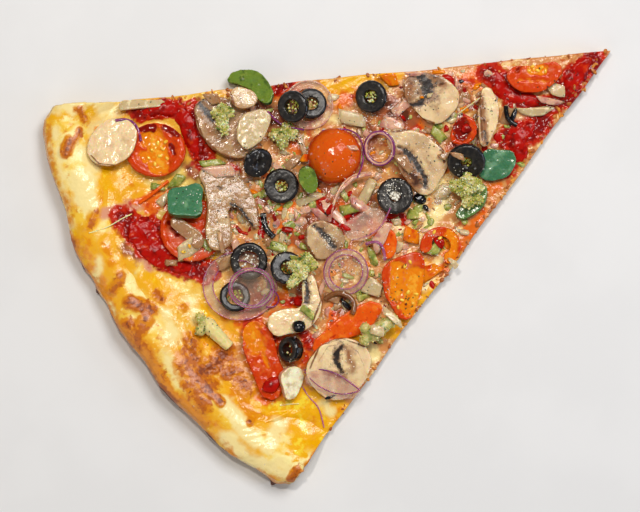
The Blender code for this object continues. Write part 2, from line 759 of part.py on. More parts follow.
def lay_top_layer():
    """The olives, the broccoli and the onion that lie on the rest."""
    lay(build_floret("broccoli_2", HEADS_WIDE, (0.0050, 20, 0.0018)), (282, 137), GRID_TURN)
    lay(build_olive_ring("olive_ring_1", 0.0064, 0.0026, 0.0034), (310, 102), lean=(0.10, 0.10))
    lay(build_olive_ring("olive_ring_2", 0.0066, 0.0030, 0.0046), (296, 106), lean=(-0.42, 0.10))
    lay(build_olive_ring("olive_ring_3", 0.0067, 0.0027, 0.0046), (373, 99), lean=(-0.30, 0.12))
    lay(build_olive_end("olive_end_1", 0.0064, 0.0066), (257, 160), lean=(0.22, -0.75))
    lay(build_olive_ring("olive_ring_4", 0.0072, 0.0026, 0.0042), (282, 187))
    lay_slice("green_pepper_bit", 0.0036, GREEN_PEPPER)
    lay(build_olive_ring("olive_ring_5", 0.0075, 0.0024, 0.0046), (394, 194), lean=(-0.14, 0.12))
    lay(build_olive_ring("olive_ring_6", 0.0079, 0.0022, 0.0040), (465, 160))
    lay(build_olive_ring("olive_ring_7", 0.0077, 0.0042, 0.0042), (249, 261))
    lay(build_olive_ring("olive_ring_8", 0.0064, 0.0034, 0.0030), (236, 299))
    inner = build_onion_ring("onion_ring_inner", 0.0094, 0.0016, 0.0014, (1.0, 0.88))
    lay(inner, (249.5, 289), GRID_TURN)
    lay(build_olive_ring("olive_ring_9", 0.0070, 0.0026, 0.0042), (287, 268.5), lean=(0.30, 0.15))
    lay(build_olive_ring("olive_ring_10", 0.0053, 0.0026, 0.0056), (290, 347), lean=(-0.75, 0.40))
    right = build_onion_ring("onion_ring_right", 0.0092, 0.0026, 0.0018, (1.0, 1.04))
    lay(right, (344.5, 269.5), GRID_TURN)
    middle = tuple((min(c) + max(c)) / 2 for c in zip(*ONION_STRAND))
    path = [((x - middle[0]) * GRID, (middle[1] - y) * GRID) for x, y in ONION_STRAND]
    lay(strand("onion_strand", path, 0.0008, ONION), middle, GRID_TURN)
    lay_slice("onion_leaf", 0.0012, ONION)
    lay(build_floret("broccoli_1", HEADS_SMALL, (0.0070, -80, 0.0016)), (221, 121), GRID_TURN)
    lay(build_floret("broccoli_3", HEADS_WIDE, (0.0100, -125, 0.0020)), (300, 272), GRID_TURN)
    lay(build_floret("broccoli_4", HEADS_LARGE, (0.0060, 60, 0.0022)), (468, 190), GRID_TURN)
    lay(build_floret("broccoli_5", HEADS_LONG, (0.0125, -45, 0.0028)), (212, 333), GRID_TURN)
    lay(build_floret("broccoli_6", HEADS_LONG, (0.0120, 35, 0.0028)), (377, 330), GRID_TURN)


# Heads of buds in a floret, each as (x, y, z, radius)
HEADS_SMALL = ((0, 0, 0, 0.0030), (0.0028, 0.0016, 0.0004, 0.0024), (-0.0026, 0.0018, 0, 0.0022))
HEADS_SMALL += ((0.0002, 0.0036, 0.0002, 0.0024), (-0.0008, -0.0032, -0.0004, 0.0020))
HEADS_WIDE = ((0, 0, 0, 0.0033), (0.0036, 0.0008, 0, 0.0026), (-0.0036, 0.0004, -0.0004, 0.0026))
HEADS_WIDE += ((0.0010, 0.0034, 0, 0.0024), (-0.0008, -0.0034, 0.0002, 0.0023))
HEADS_LARGE = ((0, 0, 0, 0.0038), (0.0042, 0.0014, 0, 0.0030), (-0.0040, 0.0020, 0.0002, 0.0029))
HEADS_LARGE += ((0.0008, -0.0046, -0.0004, 0.0030), (0.0002, 0.0046, -0.0002, 0.0026))
HEADS_LARGE += ((0.0044, -0.0036, -0.0004, 0.0024),)
HEADS_LONG = ((0, 0, 0, 0.0034), (-0.0030, 0.0024, 0, 0.0026), (-0.0030, -0.0024, -0.0002, 0.0026))


def stand_at_origin():
    """Moves the whole slice so that the bottom centre of its box is the origin."""
    bpy.context.view_layer.update()
    graph = bpy.context.evaluated_depsgraph_get()
    points = []
    for obj in SLICE.objects:
        shape = obj.evaluated_get(graph)
        mesh = shape.to_mesh()
        points += [shape.matrix_world @ v.co for v in mesh.vertices]
        shape.to_mesh_clear()
    low = Vector(min(p[k] for p in points) for k in range(3))
    high = Vector(max(p[k] for p in points) for k in range(3))
    shift = Vector((-(low.x + high.x) / 2, -(low.y + high.y) / 2, -low.z))
    for obj in SLICE.objects:
        obj.location += shift


build_slice()
stand_at_origin()
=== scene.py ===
# %% [markdown]
# A slice of vegetable pizza, seen from straight above. The solids of the slice are loaded as a fixed
# frame, in metres. Each one is then dressed: a finer copy is made of it, softened as heat softens food,
# and given the colours and the gloss of what it is. Last come the small things that lie on it.
# %% Load the frame
import math
import random
from collections import namedtuple

import bpy
import numpy as np
from mathutils import Euler, Matrix, Vector, noise
from mathutils.kdtree import KDTree


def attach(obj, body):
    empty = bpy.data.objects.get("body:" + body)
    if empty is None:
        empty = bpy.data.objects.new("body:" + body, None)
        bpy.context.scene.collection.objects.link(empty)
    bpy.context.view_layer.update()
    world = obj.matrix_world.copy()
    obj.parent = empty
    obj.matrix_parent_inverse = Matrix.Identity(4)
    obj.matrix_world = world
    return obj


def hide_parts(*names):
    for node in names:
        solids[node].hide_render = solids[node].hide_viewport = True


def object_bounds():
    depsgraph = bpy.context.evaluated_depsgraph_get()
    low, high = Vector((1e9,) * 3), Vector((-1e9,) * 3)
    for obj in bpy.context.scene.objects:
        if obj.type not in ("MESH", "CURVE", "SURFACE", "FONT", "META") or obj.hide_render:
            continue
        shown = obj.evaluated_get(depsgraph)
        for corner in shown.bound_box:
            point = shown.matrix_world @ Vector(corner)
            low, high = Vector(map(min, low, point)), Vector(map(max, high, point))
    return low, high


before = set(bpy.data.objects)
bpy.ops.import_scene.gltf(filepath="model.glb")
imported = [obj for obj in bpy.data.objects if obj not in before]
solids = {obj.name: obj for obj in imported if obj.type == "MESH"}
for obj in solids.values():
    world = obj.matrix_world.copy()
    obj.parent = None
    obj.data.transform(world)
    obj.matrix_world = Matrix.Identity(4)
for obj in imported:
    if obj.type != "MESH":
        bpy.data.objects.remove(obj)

solid_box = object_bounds()
print("nodes:", len(solids), "box of the solids:", solid_box)

# %% [markdown]
# Places are given in squares of a 0.4 mm grid that lies over the slice as the camera sees it, x to the
# right and y down. The slice is turned against that grid, so one function changes a place on the grid to
# metres, and another one changes metres back.
# %% Places on the slice
MM = 0.001
SQUARE = 0.4 * MM
GRID_TURN = math.radians(-29.66)
TIP_ON_GRID = (612, 50)
CAMERA_CENTRE = (320, 256)

tip = max((v.co for v in solids["crust"].data.vertices), key=lambda co: co.x).copy()


def on_slice(x, y):
    """Metres from squares of the grid."""
    across = (x - TIP_ON_GRID[0]) * SQUARE
    up = (TIP_ON_GRID[1] - y) * SQUARE
    turned_x = across * math.cos(GRID_TURN) - up * math.sin(GRID_TURN)
    turned_y = across * math.sin(GRID_TURN) + up * math.cos(GRID_TURN)
    return Vector((tip.x + turned_x, tip.y + turned_y))


def on_grid(points):
    """Squares of the grid from an array of points in metres."""
    x = points[:, 0] - tip.x
    y = points[:, 1] - tip.y
    across = x * math.cos(GRID_TURN) + y * math.sin(GRID_TURN)
    up = -x * math.sin(GRID_TURN) + y * math.cos(GRID_TURN)
    return np.stack([TIP_ON_GRID[0] + across / SQUARE, TIP_ON_GRID[1] - up / SQUARE], axis=1)


print("tip of the slice at", [round(c / MM, 1) for c in tip], "mm")

# %% [markdown]
# The helpers below are what a hand does in Blender: select one object, work in edit mode, add a modifier
# and apply it. fine_copy makes the copy that a topping is dressed with. The copy's loose triangles are
# merged first. A voxel remesh then gives it even faces, and the smoothing rounds its edges as cooking
# rounds the edges of a cut vegetable.
# %% Fine copies of the solids
MOST_STORED = 2
SHORTEST = 1e-9


def select_only(piece):
    bpy.ops.object.select_all(action="DESELECT")
    piece.select_set(True)
    bpy.context.view_layer.objects.active = piece


def apply(piece, kind, **settings):
    select_only(piece)
    modifier = piece.modifiers.new(kind.lower(), kind)
    for setting, value in settings.items():
        setattr(modifier, setting, value)
    bpy.ops.object.modifier_apply(modifier=modifier.name)


def merged_copy(node):
    piece = bpy.data.objects.new(node + "_dressed", solids[node].data.copy())
    bpy.context.scene.collection.objects.link(piece)
    piece.data.materials.clear()
    select_only(piece)
    bpy.ops.object.mode_set(mode="EDIT")
    bpy.ops.mesh.select_all(action="SELECT")
    bpy.ops.mesh.remove_doubles(threshold=0.001 * MM)
    bpy.ops.object.mode_set(mode="OBJECT")
    return piece


def fine_copy(node, cell=0.42, smoothing=4):
    piece = merged_copy(node)
    apply(piece, "REMESH", mode="VOXEL", voxel_size=cell * MM)
    apply(piece, "SMOOTH", factor=0.5, iterations=smoothing)
    return piece


def roughen(piece, grain, depth):
    """Moves the surface in and out by soft clouds whose grain and depth are in millimetres."""
    texture = bpy.data.textures.new(piece.name + "_grain", "CLOUDS")
    texture.noise_scale = grain * MM
    apply(piece, "DISPLACE", texture=texture, texture_coords="LOCAL", strength=depth * MM, mid_level=0.5)


def points_of(piece):
    co = np.zeros(len(piece.data.vertices) * 3)
    piece.data.vertices.foreach_get("co", co)
    return co.reshape(-1, 3)


def normals_of(piece):
    normals = np.zeros(len(piece.data.vertices) * 3)
    piece.data.vertices.foreach_get("normal", normals)
    return normals.reshape(-1, 3)


def move_points(piece, points):
    piece.data.vertices.foreach_set("co", points.ravel())
    piece.data.update()


def store(piece, name, values):
    """Keeps one number for each point, which a material reads by its name."""
    layer = piece.data.attributes.new(name, "FLOAT", "POINT")
    values = np.broadcast_to(values, len(piece.data.vertices))
    layer.data.foreach_set("value", np.clip(values, 0, MOST_STORED).astype(np.float32))


def ramp(values, low, high):
    """0 below low, 1 above high, and smooth between."""
    share = np.clip((values - low) / (high - low), 0, 1)
    return share * share * (3 - 2 * share)


def noise_at(points, grain, kind=noise.noise):
    """Noise at each point, with its grain in millimetres."""
    return np.array([kind(Vector(p) / (grain * MM)) for p in points])


def strokes(piece, marks):
    """How near each point is to marks painted on the piece as seen from above.

    A mark is (radius, strength, place, place ...) in squares of the grid. The value is half of the
    strength at the radius, and 0 at twice the radius.
    """
    here = on_grid(points_of(piece))
    value = np.zeros(len(here))
    for radius, strength, *places in marks:
        if len(places) == 1:
            places = places * 2
        for start, end in zip(places, places[1:]):
            start, end = np.array(start, float), np.array(end, float)
            along = end - start
            share = np.clip((here - start) @ along / max(along @ along, SHORTEST), 0, 1)
            distance = np.linalg.norm(here - start - share[:, None] * along, axis=1)
            value = np.maximum(value, strength * np.clip(1 - distance / (2 * radius), 0, 1))
    return value


def axes_of(node):
    """Middle of a solid and its own directions, the thinnest last, which looks up."""
    points = np.array([v.co for v in solids[node].data.vertices])
    corners = np.array([[points[i] for i in p.vertices] for p in solids[node].data.polygons])
    area = np.linalg.norm(np.cross(corners[:, 1] - corners[:, 0], corners[:, 2] - corners[:, 0]), axis=1)
    centres = corners.mean(1)
    middle = (centres * area[:, None]).sum(0) / area.sum()
    spread = ((centres - middle) * area[:, None]).T @ (centres - middle)
    directions = np.linalg.eigh(spread)[1][:, ::-1].T
    if directions[2][2] < 0:
        directions[2] *= -1
    return middle, directions


print("helpers ready")

# %% [markdown]
# A finish is a recipe: a base colour, then coats over it. Each coat covers what is below where its
# attribute or its noise is high, with a ragged edge, and brings its own roughness. The bumps are noise at
# the grain of the real surface. One function adds any node with its settings and its links.
# %% How a finish is made
def linear(code):
    """A hex colour as a screen shows it, turned to linear light."""
    levels = [int(code[i : i + 2], 16) / 255 for i in (1, 3, 5)]
    return tuple(c / 12.92 if c <= 0.04045 else ((c + 0.055) / 1.055) ** 2.4 for c in levels) + (1.0,)


def feed(tree, made, socket, value):
    """Links a socket to another node's output, or sets it to a constant."""
    if isinstance(value, bpy.types.NodeSocket):
        tree.links.new(value, made.inputs[socket])
    else:
        made.inputs[socket].default_value = value


def node(tree, kind, links, **settings):
    made = tree.nodes.new("ShaderNode" + kind)
    for setting, value in settings.items():
        setattr(made, setting, value)
    for socket, value in links.items():
        feed(tree, made, socket, value)
    return made


# Numbers of the sockets of a Mix node
MIX_FACTOR, MIX_A, MIX_B, MIX_COLOUR = 0, 6, 7, 2
FLOAT_A, FLOAT_B = 2, 3
# What a level of noise is on average, and how far red, green and blue light go into food, side by side
NOISE_MIDDLE = 0.5
LIGHT_DEPTHS = (1.0, 0.6, 0.3)
BUMP_DETAIL = 2.0

# One coat of a finish, laid where the attribute named in where is high, or else only where the noise is.
# grain is the size of the noise in millimetres, and ragged is how far it moves the edge of the coat. low
# and high are where the coat starts and where it is whole. rough is its own roughness, if it has one.
coat = namedtuple("coat", "colour where grain low high ragged detail rough", defaults=(0.5, 4, None))


def finish(name, base, coats=(), bumps=(), roughness=0.4, depth=0.0, **shader):
    """A material. bumps are (grain, height) and depth is how far light goes in, all in millimetres."""
    material = bpy.data.materials.new(name)
    material.use_nodes = True
    tree = material.node_tree
    principled = tree.nodes["Principled BSDF"]
    place = node(tree, "TexCoord", {}).outputs["Object"]
    colour = linear(base)
    rough = roughness
    for one in coats:
        links = {"Vector": place, "Scale": 1 / (one.grain * MM), "Detail": one.detail}
        value = node(tree, "TexNoise", links).outputs["Fac"]
        if one.where:
            painted = node(tree, "Attribute", {}, attribute_name=one.where).outputs["Fac"]
            centred = node(tree, "Math", {0: value, 1: NOISE_MIDDLE}, operation="SUBTRACT").outputs[0]
            links = {0: centred, 1: 2 * one.ragged, 2: painted}
            value = node(tree, "Math", links, operation="MULTIPLY_ADD").outputs[0]
        links = {"Value": value, "From Min": one.low, "From Max": one.high}
        share = node(tree, "MapRange", links, interpolation_type="SMOOTHSTEP").outputs[0]
        links = {MIX_FACTOR: share, MIX_A: colour, MIX_B: linear(one.colour)}
        colour = node(tree, "Mix", links, data_type="RGBA").outputs[MIX_COLOUR]
        if one.rough is not None:
            links = {MIX_FACTOR: share, FLOAT_A: rough, FLOAT_B: one.rough}
            rough = node(tree, "Mix", links, data_type="FLOAT").outputs[0]
    feed(tree, principled, "Base Color", colour)
    feed(tree, principled, "Roughness", rough)
    normal = None
    for grain, height in bumps:
        waves = node(tree, "TexNoise", {"Vector": place, "Scale": 1 / (grain * MM), "Detail": BUMP_DETAIL})
        links = {"Height": waves.outputs["Fac"], "Distance": height * MM, "Strength": 1.0}
        if normal is not None:
            links["Normal"] = normal
        normal = node(tree, "Bump", links).outputs["Normal"]
    if normal is not None:
        tree.links.new(normal, principled.inputs["Normal"])
    if depth:
        principled.inputs["Subsurface Weight"].default_value = 1.0
        principled.inputs["Subsurface Scale"].default_value = depth * MM
        principled.inputs["Subsurface Radius"].default_value = LIGHT_DEPTHS
    for socket, value in shader.items():
        principled.inputs[socket.replace("_", " ")].default_value = value
    return material


def dress(piece, material, slot, *nodes):
    """Gives a piece its material, shades it smooth, hangs it under the root and hides the solids it stands
    for.
    """
    piece.data.materials.clear()
    piece.data.materials.append(material)
    select_only(piece)
    bpy.ops.object.shade_smooth()
    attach(piece, "root")
    if nodes:
        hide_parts(*nodes)


print("recipes ready")

# %% [markdown]
# The heat and the oil don't stop where the cheese stops, so the dough and the cheese are painted with the
# same zones: browned blisters, pale pools, golden oil, sauce, and the red and pink that tomato and onion
# leave. Some marks of the pale pools are painted highlight on the rim's edge, and the damp zone is darker
# where juice soaked in and holds painted shade in the gaps between the toppings. Each zone is a list of marks
# on the grid, and the noise of the finish gives it its edge.
# %% The zones of the slice
BROWNED = [
    (6, 1.1, (131, 302), (151, 309)), (5, 0.8, (156, 294), (162, 299)), (7, 0.9, (147, 318), (139, 333)),
    (9, 0.8, (192, 341), (196, 366)), (9, 1.1, (200, 374), (222, 360), (224, 352)),
    (5, 1.15, (226, 375), (233, 372)), (4, 1.0, (238, 379), (243, 384)),
    (5, 1.2, (205, 387), (211, 392)), (4, 1.2, (216, 396), (221, 402)), (9, 0.8, (190, 384), (204, 404)),
    (8, 0.8, (128, 324), (144, 352), (164, 382)), (8, 0.58, (164, 382), (184, 404), (206, 422)),
    (11, 0.85, (186, 362), (196, 376), (208, 384)), (10, 0.8, (224, 364), (238, 374), (246, 388)),
    (4, 0.36, (42, 118), (44, 150), (50, 184)), (4, 0.5, (62, 230), (84, 268), (108, 300)),
    (4, 0.6, (320, 448), (306, 464)), (5, 0.7, (184, 308)), (5, 0.7, (248, 384)), (4, 0.9, (250, 421)),
    (5, 0.8, (114, 290), (122, 276)), (5, 1.0, (71, 141), (66, 153)), (4, 0.8, (80, 131), (74, 142)),
    (5, 0.7, (80, 110), (84, 120)), (3, 0.6, (97, 129)), (5, 0.6, (97, 212), (90, 226)),
    (5, 0.9, (297, 470), (292, 478)), (4, 0.8, (222, 312), (226, 318)),
]  # fmt: skip
# Pale pools of cheese. The marks along the lower and the left edge of the rim, and the one beside the round
# mushroom, are painted highlight, not pools.
PALE_POOLS_AND_HIGHLIGHTS = [
    (12, 0.8, (166, 318), (176, 336)), (10, 0.8, (166, 356), (178, 372)),
    (8, 1.0, (226, 402), (238, 422), (254, 440)), (9, 1.0, (278, 424), (270, 446)),
    (8, 0.9, (262, 462), (286, 474)), (9, 0.9, (60, 108), (76, 106)), (7, 0.7, (100, 258), (96, 290)),
    (8, 0.7, (128, 242)), (8, 0.7, (190, 300), (196, 318)), (7, 0.7, (330, 392)),
    (8, 0.6, (236, 186), (250, 206)), (7, 0.7, (276, 256), (282, 240)), (8, 0.7, (424, 196), (420, 214)),
    (9, 0.9, (440, 186), (444, 206), (430, 226)), (6, 0.8, (330, 120), (352, 118)),
    (13, 1.1, (82, 178), (86, 200)), (12, 0.9, (104, 122), (92, 152), (88, 178)),
    (7, 0.7, (56, 128), (64, 184), (72, 226)), (8, 1.0, (368, 346), (372, 356)),
    (9, 1.1, (404, 228), (414, 236)), (8, 0.8, (424, 286), (430, 278)), (9, 0.9, (102, 108), (114, 108)),
    (7, 0.8, (324, 404), (330, 412)), (9, 1.1, (228, 438), (246, 458), (260, 470)),
    (8, 0.9, (280, 462), (294, 474)), (6, 0.9, (58, 214), (68, 232)), (6, 0.9, (98, 296), (112, 310)),
    (6, 0.9, (46, 140), (50, 158)), (9, 1.2, (444, 262), (452, 272)), (7, 0.7, (402, 226), (412, 232)),
]  # fmt: skip
OILY = [
    (7, 1.0, (109, 172), (100, 205), (92, 224)), (10, 0.9, (126, 262), (120, 236)),
    (14, 1.0, (84, 240), (96, 270), (112, 300)), (10, 0.9, (150, 282), (168, 296)),
    (14, 1.2, (238, 392), (252, 412), (290, 410)), (11, 1.1, (296, 398), (312, 404), (306, 436)),
    (12, 0.9, (178, 344), (206, 340)), (9, 0.8, (232, 336), (240, 312)),
    (10, 0.9, (330, 436), (340, 408), (320, 420)), (10, 0.9, (326, 92), (356, 84), (392, 76)),
    (8, 0.9, (352, 336), (384, 330), (404, 330)), (7, 0.8, (446, 112), (462, 92)),
    (9, 0.8, (124, 178), (140, 196), (112, 196)), (7, 0.6, (48, 122), (56, 116)),
    (9, 0.9, (58, 196), (66, 232)), (12, 0.8, (200, 410), (222, 432), (250, 452)),
    (9, 0.8, (424, 268), (430, 284), (408, 320)), (10, 1.0, (106, 244), (112, 262)),
    (8, 0.9, (446, 246), (452, 256)), (11, 1.1, (300, 422), (312, 432)),
]  # fmt: skip
STAINED = [
    (12, 1.0, (250, 322), (258, 362), (268, 392)), (9, 0.9, (270, 300), (296, 304)),
    (9, 0.9, (276, 318), (284, 352), (306, 358)), (10, 0.8, (150, 206), (168, 200)),
    (9, 0.9, (292, 84), (270, 92)), (9, 0.7, (330, 200), (352, 212), (372, 206)),
    (4, 0.9, (136, 202), (150, 196), (160, 188)), (8, 0.7, (320, 170), (330, 186)),
    (8, 0.7, (268, 196), (290, 206)), (12, 0.9, (384, 104), (404, 118), (416, 128)),
    (8, 0.8, (380, 236), (370, 222)), (10, 0.8, (450, 86), (486, 76)), (8, 0.9, (466, 124), (452, 150)),
    (10, 0.8, (560, 104), (596, 66)), (9, 0.6, (498, 184), (474, 228), (440, 270)),
    (7, 0.9, (340, 300), (330, 330)), (8, 0.7, (300, 150), (292, 138)), (7, 0.9, (286, 228), (290, 240)),
    (7, 0.8, (360, 94), (342, 100)),
]  # fmt: skip
SAUCY = [
    (11, 1.2, (124, 218), (140, 238), (160, 256), (206, 272)), (9, 1.0, (152, 226), (168, 232)),
    (9, 1.1, (138, 113), (168, 106), (190, 114)), (10, 1.1, (192, 112), (194, 134), (204, 160)),
    (8, 0.8, (218, 170), (232, 172)), (11, 1.2, (566, 88), (584, 70), (594, 58)),
    (10, 1.2, (490, 74), (506, 84), (514, 98)), (8, 1.2, (514, 98), (540, 106), (572, 100), (576, 92)),
    (11, 1.2, (508, 138), (530, 132), (542, 120)), (8, 1.1, (516, 152), (506, 170)),
    (7, 1.1, (278, 88), (286, 82)), (6, 1.0, (318, 196), (326, 208), (336, 226)),
    (6, 1.0, (352, 216), (362, 206)), (7, 0.65, (272, 330), (276, 346), (290, 356)),
    (6, 0.9, (300, 330), (310, 344)), (5, 1.0, (388, 222), (396, 212), (404, 220)),
    (5, 1.0, (294, 300), (302, 304)), (5, 0.9, (460, 140), (466, 122)), (5, 0.8, (330, 244), (340, 232)),
]  # fmt: skip
BLUSHED = [
    (7, 1.0, (106, 214), (124, 207), (150, 206)), (7, 1.0, (134, 246), (142, 258), (150, 266)),
    (8, 0.9, (196, 168), (222, 174)), (10, 0.8, (300, 220), (330, 214), (360, 230)),
    (10, 0.7, (340, 190), (370, 180)), (8, 0.7, (424, 120), (440, 140)),
    (9, 0.6, (240, 240), (220, 250)), (9, 0.9, (384, 104), (396, 124)), (7, 0.8, (540, 112), (520, 120)),
    (8, 0.7, (258, 168), (280, 160)),
]  # fmt: skip
LEMON = [
    (10, 1.2, (262, 400), (284, 406), (312, 402)), (8, 1.1, (300, 414), (304, 434), (296, 450)),
    (7, 0.9, (322, 404), (326, 424), (320, 440)), (7, 0.8, (56, 112), (72, 110), (92, 112)),
    (6, 0.8, (62, 196), (70, 226), (80, 244)), (6, 0.8, (104, 160), (108, 190)),
    (6, 0.8, (200, 306), (208, 320)), (7, 0.8, (150, 276), (164, 286)), (6, 0.9, (346, 82), (358, 78)),
]  # fmt: skip
# Darker where juice soaked in, and painted shade in the gaps between the toppings
DAMP_AND_SHADE = [
    (13, 1.0, (312, 178), (326, 200), (306, 224)), (10, 0.9, (366, 122), (372, 144), (366, 158)),
    (12, 1.35, (382, 104), (404, 116)), (11, 1.0, (366, 202), (362, 218)),
    (8, 0.9, (204, 104), (214, 112)), (9, 1.0, (188, 246), (196, 256)),
    (10, 1.2, (258, 108), (274, 118)), (9, 0.9, (224, 246), (236, 252)),
    (8, 0.8, (186, 166), (194, 176)), (10, 0.9, (262, 196), (272, 214)),
    (9, 0.8, (296, 236), (318, 256)), (8, 0.8, (126, 246), (136, 256)), (8, 0.8, (462, 90), (470, 104)),
    (8, 0.9, (402, 176), (392, 190)), (8, 0.8, (340, 300), (352, 320)), (9, 1.1, (404, 166), (414, 176)),
    (9, 1.1, (248, 286), (256, 294)), (9, 1.1, (304, 286), (314, 294)),
]  # fmt: skip
WARM_FROM, WARM_TO = 200, 250
ZONES = {
    "brown": BROWNED,
    "cream": PALE_POOLS_AND_HIGHLIGHTS,
    "oil": OILY,
    "lemon": LEMON,
    "stain": STAINED,
    "sauce": SAUCY,
    "blush": BLUSHED,
    "damp": DAMP_AND_SHADE,
}


def paint_zones(piece):
    for zone, marks in ZONES.items():
        store(piece, zone, strokes(piece, marks))
    store(piece, "warm", ramp(on_grid(points_of(piece))[:, 0], WARM_FROM, WARM_TO))


# What the oven, the oil and the toppings do to whatever lies on top, with painted shade in the damp coats and
# painted highlight in some of the pale pools
ZONE_COATS = [
    coat("#F0AE1C", "oil", 5, 0.22, 0.6, detail=3, rough=0.22),
    coat("#E48C08", "oil", 3, 0.7, 1.05, ragged=0.7, detail=3, rough=0.12),
    coat("#F0B000", "lemon", 3, 0.3, 0.6, ragged=0.8, rough=0.25),
    coat("#F6D83A", "lemon", 2.4, 0.8, 1.3, ragged=1.2, rough=0.12),
    coat("#F8E29A", "cream", 5, 0.32, 0.8, detail=3, rough=0.2),
    coat("#DC9A78", "blush", 4, 0.36, 0.9, ragged=0.6, detail=3, rough=0.1),
    coat("#E26A10", "stain", 4, 0.28, 0.6, detail=2),
    coat("#C52E06", "stain", 3, 0.6, 0.9, ragged=0.6, detail=2, rough=0.14),
    # Painted shade between the toppings, over the darker colour of soaked juice
    coat("#9E5430", "damp", 4, 0.22, 0.85, ragged=0.8, rough=0.1),
    coat("#5E2A14", "damp", 3, 0.75, 1.35, ragged=1.2, rough=0.1),
    coat("#C0260A", "sauce", 4, 0.34, 0.55, rough=0.16),
    coat("#840602", "sauce", 3.0, 0.58, 0.95, ragged=0.9, rough=0.14),
    coat("#DC8806", "brown", 4, 0.24, 0.5, ragged=0.4, detail=3, rough=0.3),
    coat("#BC6204", "brown", 2.4, 0.45, 0.72, ragged=0.9, rough=0.34),
    coat("#853A04", "brown", 1.8, 0.74, 1.15, ragged=1.1, rough=0.38),
]
# Dough and thin cheese on the rim: golden patches and pale ones; the pale ones along the crest are painted
# highlight
RIM_COATS = [
    coat("#EFA612", "gold", 6, 0.45, 0.85, detail=3),
    coat("#FAEA9C", "pale", 5, 0.55, 0.9, detail=3),
]
print("zones:", ", ".join(ZONES))

# %% [markdown]
# The dough of a slice like this one is thin and pale under the cheese, and swells to a bare rim. The oven
# browns the outer edge of the rim and raises a few blisters; the crest is painted paler, as painted highlight
# along the top of the roll. The rim and the cut sides get fine faces, because only they show. The blisters
# are raised one by one at their places.
# %% The baked crust
BAKED_EDGE = 2.6 * MM
FLAT_TOP = 0.35
RIM_START = 183 * MM
RIM_RAYS = 60
RAY_WIDTH = 0.02
# Scorched flakes of flour and dough that stand out at the foot of the rim
FLAKES = [
    (3.0, 1.2, (67, 246), (80, 270), (96, 290)), (3.0, 1.1, (116, 327), (124, 342), (136, 353)),
    (2.5, 0.8, (58, 196), (66, 222)), (2.0, 0.9, (107, 294), (113, 302)),
    (3.0, 0.5, (44, 150), (52, 182)), (3.0, 0.8, (142, 362), (160, 386), (180, 408)),
    (2.0, 0.4, (200, 426), (216, 442)), (3.5, 1.2, (274, 484), (287, 491)),
    (3.5, 1.2, (40, 108), (42, 130)),
]  # fmt: skip
FLAKE_REACH = 2.4 * MM
FLAKE_TOP = 3.4 * MM
# How far the rim bulges beyond its solid, in millimetres, at angles from the middle line of the slice
RIM_ANGLES = np.radians([-25, -18, -14, -10, -7, -3, 0, 3, 5, 8, 12, 15, 18, 22, 24])
RIM_BULGE = [0.5, 0.5, 0.9, 0.4, 1.4, 1.9, 1.1, 0.1, 0.9, 2.0, 2.3, 1.8, 0.4, 0.5, 0.9]
BULGE_FROM = 14 * MM
# How far the bulge may stand past the box of the solids
PROUD = 1.2 * MM
# Relief of the dough: broad swells, fine grain, raised blisters, and the torn crumb of the cut sides
SWELL = 0.35 * MM
FINE = 0.10 * MM
BLISTER = 0.7 * MM
TORN = 0.6 * MM
TORN_FINE = 0.15 * MM
FLAKE_FINE = 0.8 * MM
# The crest of the rim, as distances in from its edge, which is painted paler as a highlight along the top of
# the roll
HIGHLIT_CREST = (4 * MM, 9 * MM, 14 * MM, 22 * MM)
SHARP = math.radians(50)


def finer_faces(piece, node_name, cuts, choose):
    """Rounds the piece once, keeping its outline on the solid, then cuts the chosen faces finer."""
    select_only(piece)
    bpy.ops.object.mode_set(mode="EDIT")
    bpy.ops.mesh.select_all(action="DESELECT")
    bpy.ops.mesh.edges_select_sharp(sharpness=SHARP)
    bpy.ops.transform.edge_crease(value=0.8)
    bpy.ops.object.mode_set(mode="OBJECT")
    apply(piece, "SUBSURF", levels=1, render_levels=1)
    steep = piece.vertex_groups.new(name="steep")
    share = 1 - ramp(np.abs(normals_of(piece)[:, 2]), 0.55, 0.9)
    for index, weight in enumerate(share):
        steep.add([index], float(weight), "REPLACE")
    apply(piece, "SHRINKWRAP", target=solids[node_name], vertex_group="steep")
    select_only(piece)
    bpy.ops.object.mode_set(mode="EDIT")
    bpy.ops.mesh.select_all(action="DESELECT")
    bpy.ops.object.mode_set(mode="OBJECT")
    for face in piece.data.polygons:
        face.select = choose(face)
    bpy.ops.object.mode_set(mode="EDIT")
    bpy.ops.mesh.subdivide(number_cuts=cuts, smoothness=0.4)
    bpy.ops.mesh.select_all(action="SELECT")
    bpy.ops.mesh.quads_convert_to_tris()
    bpy.ops.object.mode_set(mode="OBJECT")


def polar(points):
    """How far each point is from the tip, and its angle from the middle line of the slice."""
    back, across = tip.x - points[:, 0], points[:, 1] - tip.y
    return np.hypot(back, across), np.arctan2(across, back)


def outer_edge(reach, angle, least):
    """How far from the tip the last point along each ray lies, of the points farther than least."""
    return np.array([reach[(reach > least) & (np.abs(angle - ray) < RAY_WIDTH)].max() for ray in rays])


def shown_dough(face):
    middle = face.center
    far = math.hypot(middle.x - tip.x, middle.y - tip.y) > RIM_START
    return (far and face.normal.z > -0.3) or abs(face.normal.z) < 0.5


crust = merged_copy("crust")
finer_faces(crust, "crust", 3, shown_dough)
points, normals = points_of(crust), normals_of(crust)
reach, angle = polar(points)
rim_angle = angle[reach > RIM_START]
rays = np.linspace(rim_angle.min(), rim_angle.max(), RIM_RAYS)
dough_edge = outer_edge(reach, angle, RIM_START)


def rim_gold(points):
    """How golden the rim is, 0 to 1, less on the crest as painted highlight, and how far in from its edge
    each point lies.
    """
    reach, angle = polar(points)
    inward = np.interp(angle, rays, dough_edge) - reach
    crest = ramp(inward, HIGHLIT_CREST[0], HIGHLIT_CREST[1]) * ramp(inward, HIGHLIT_CREST[3], HIGHLIT_CREST[2])
    return 0.55 + 0.45 * noise_at(points, 5) - 0.30 * crest, inward


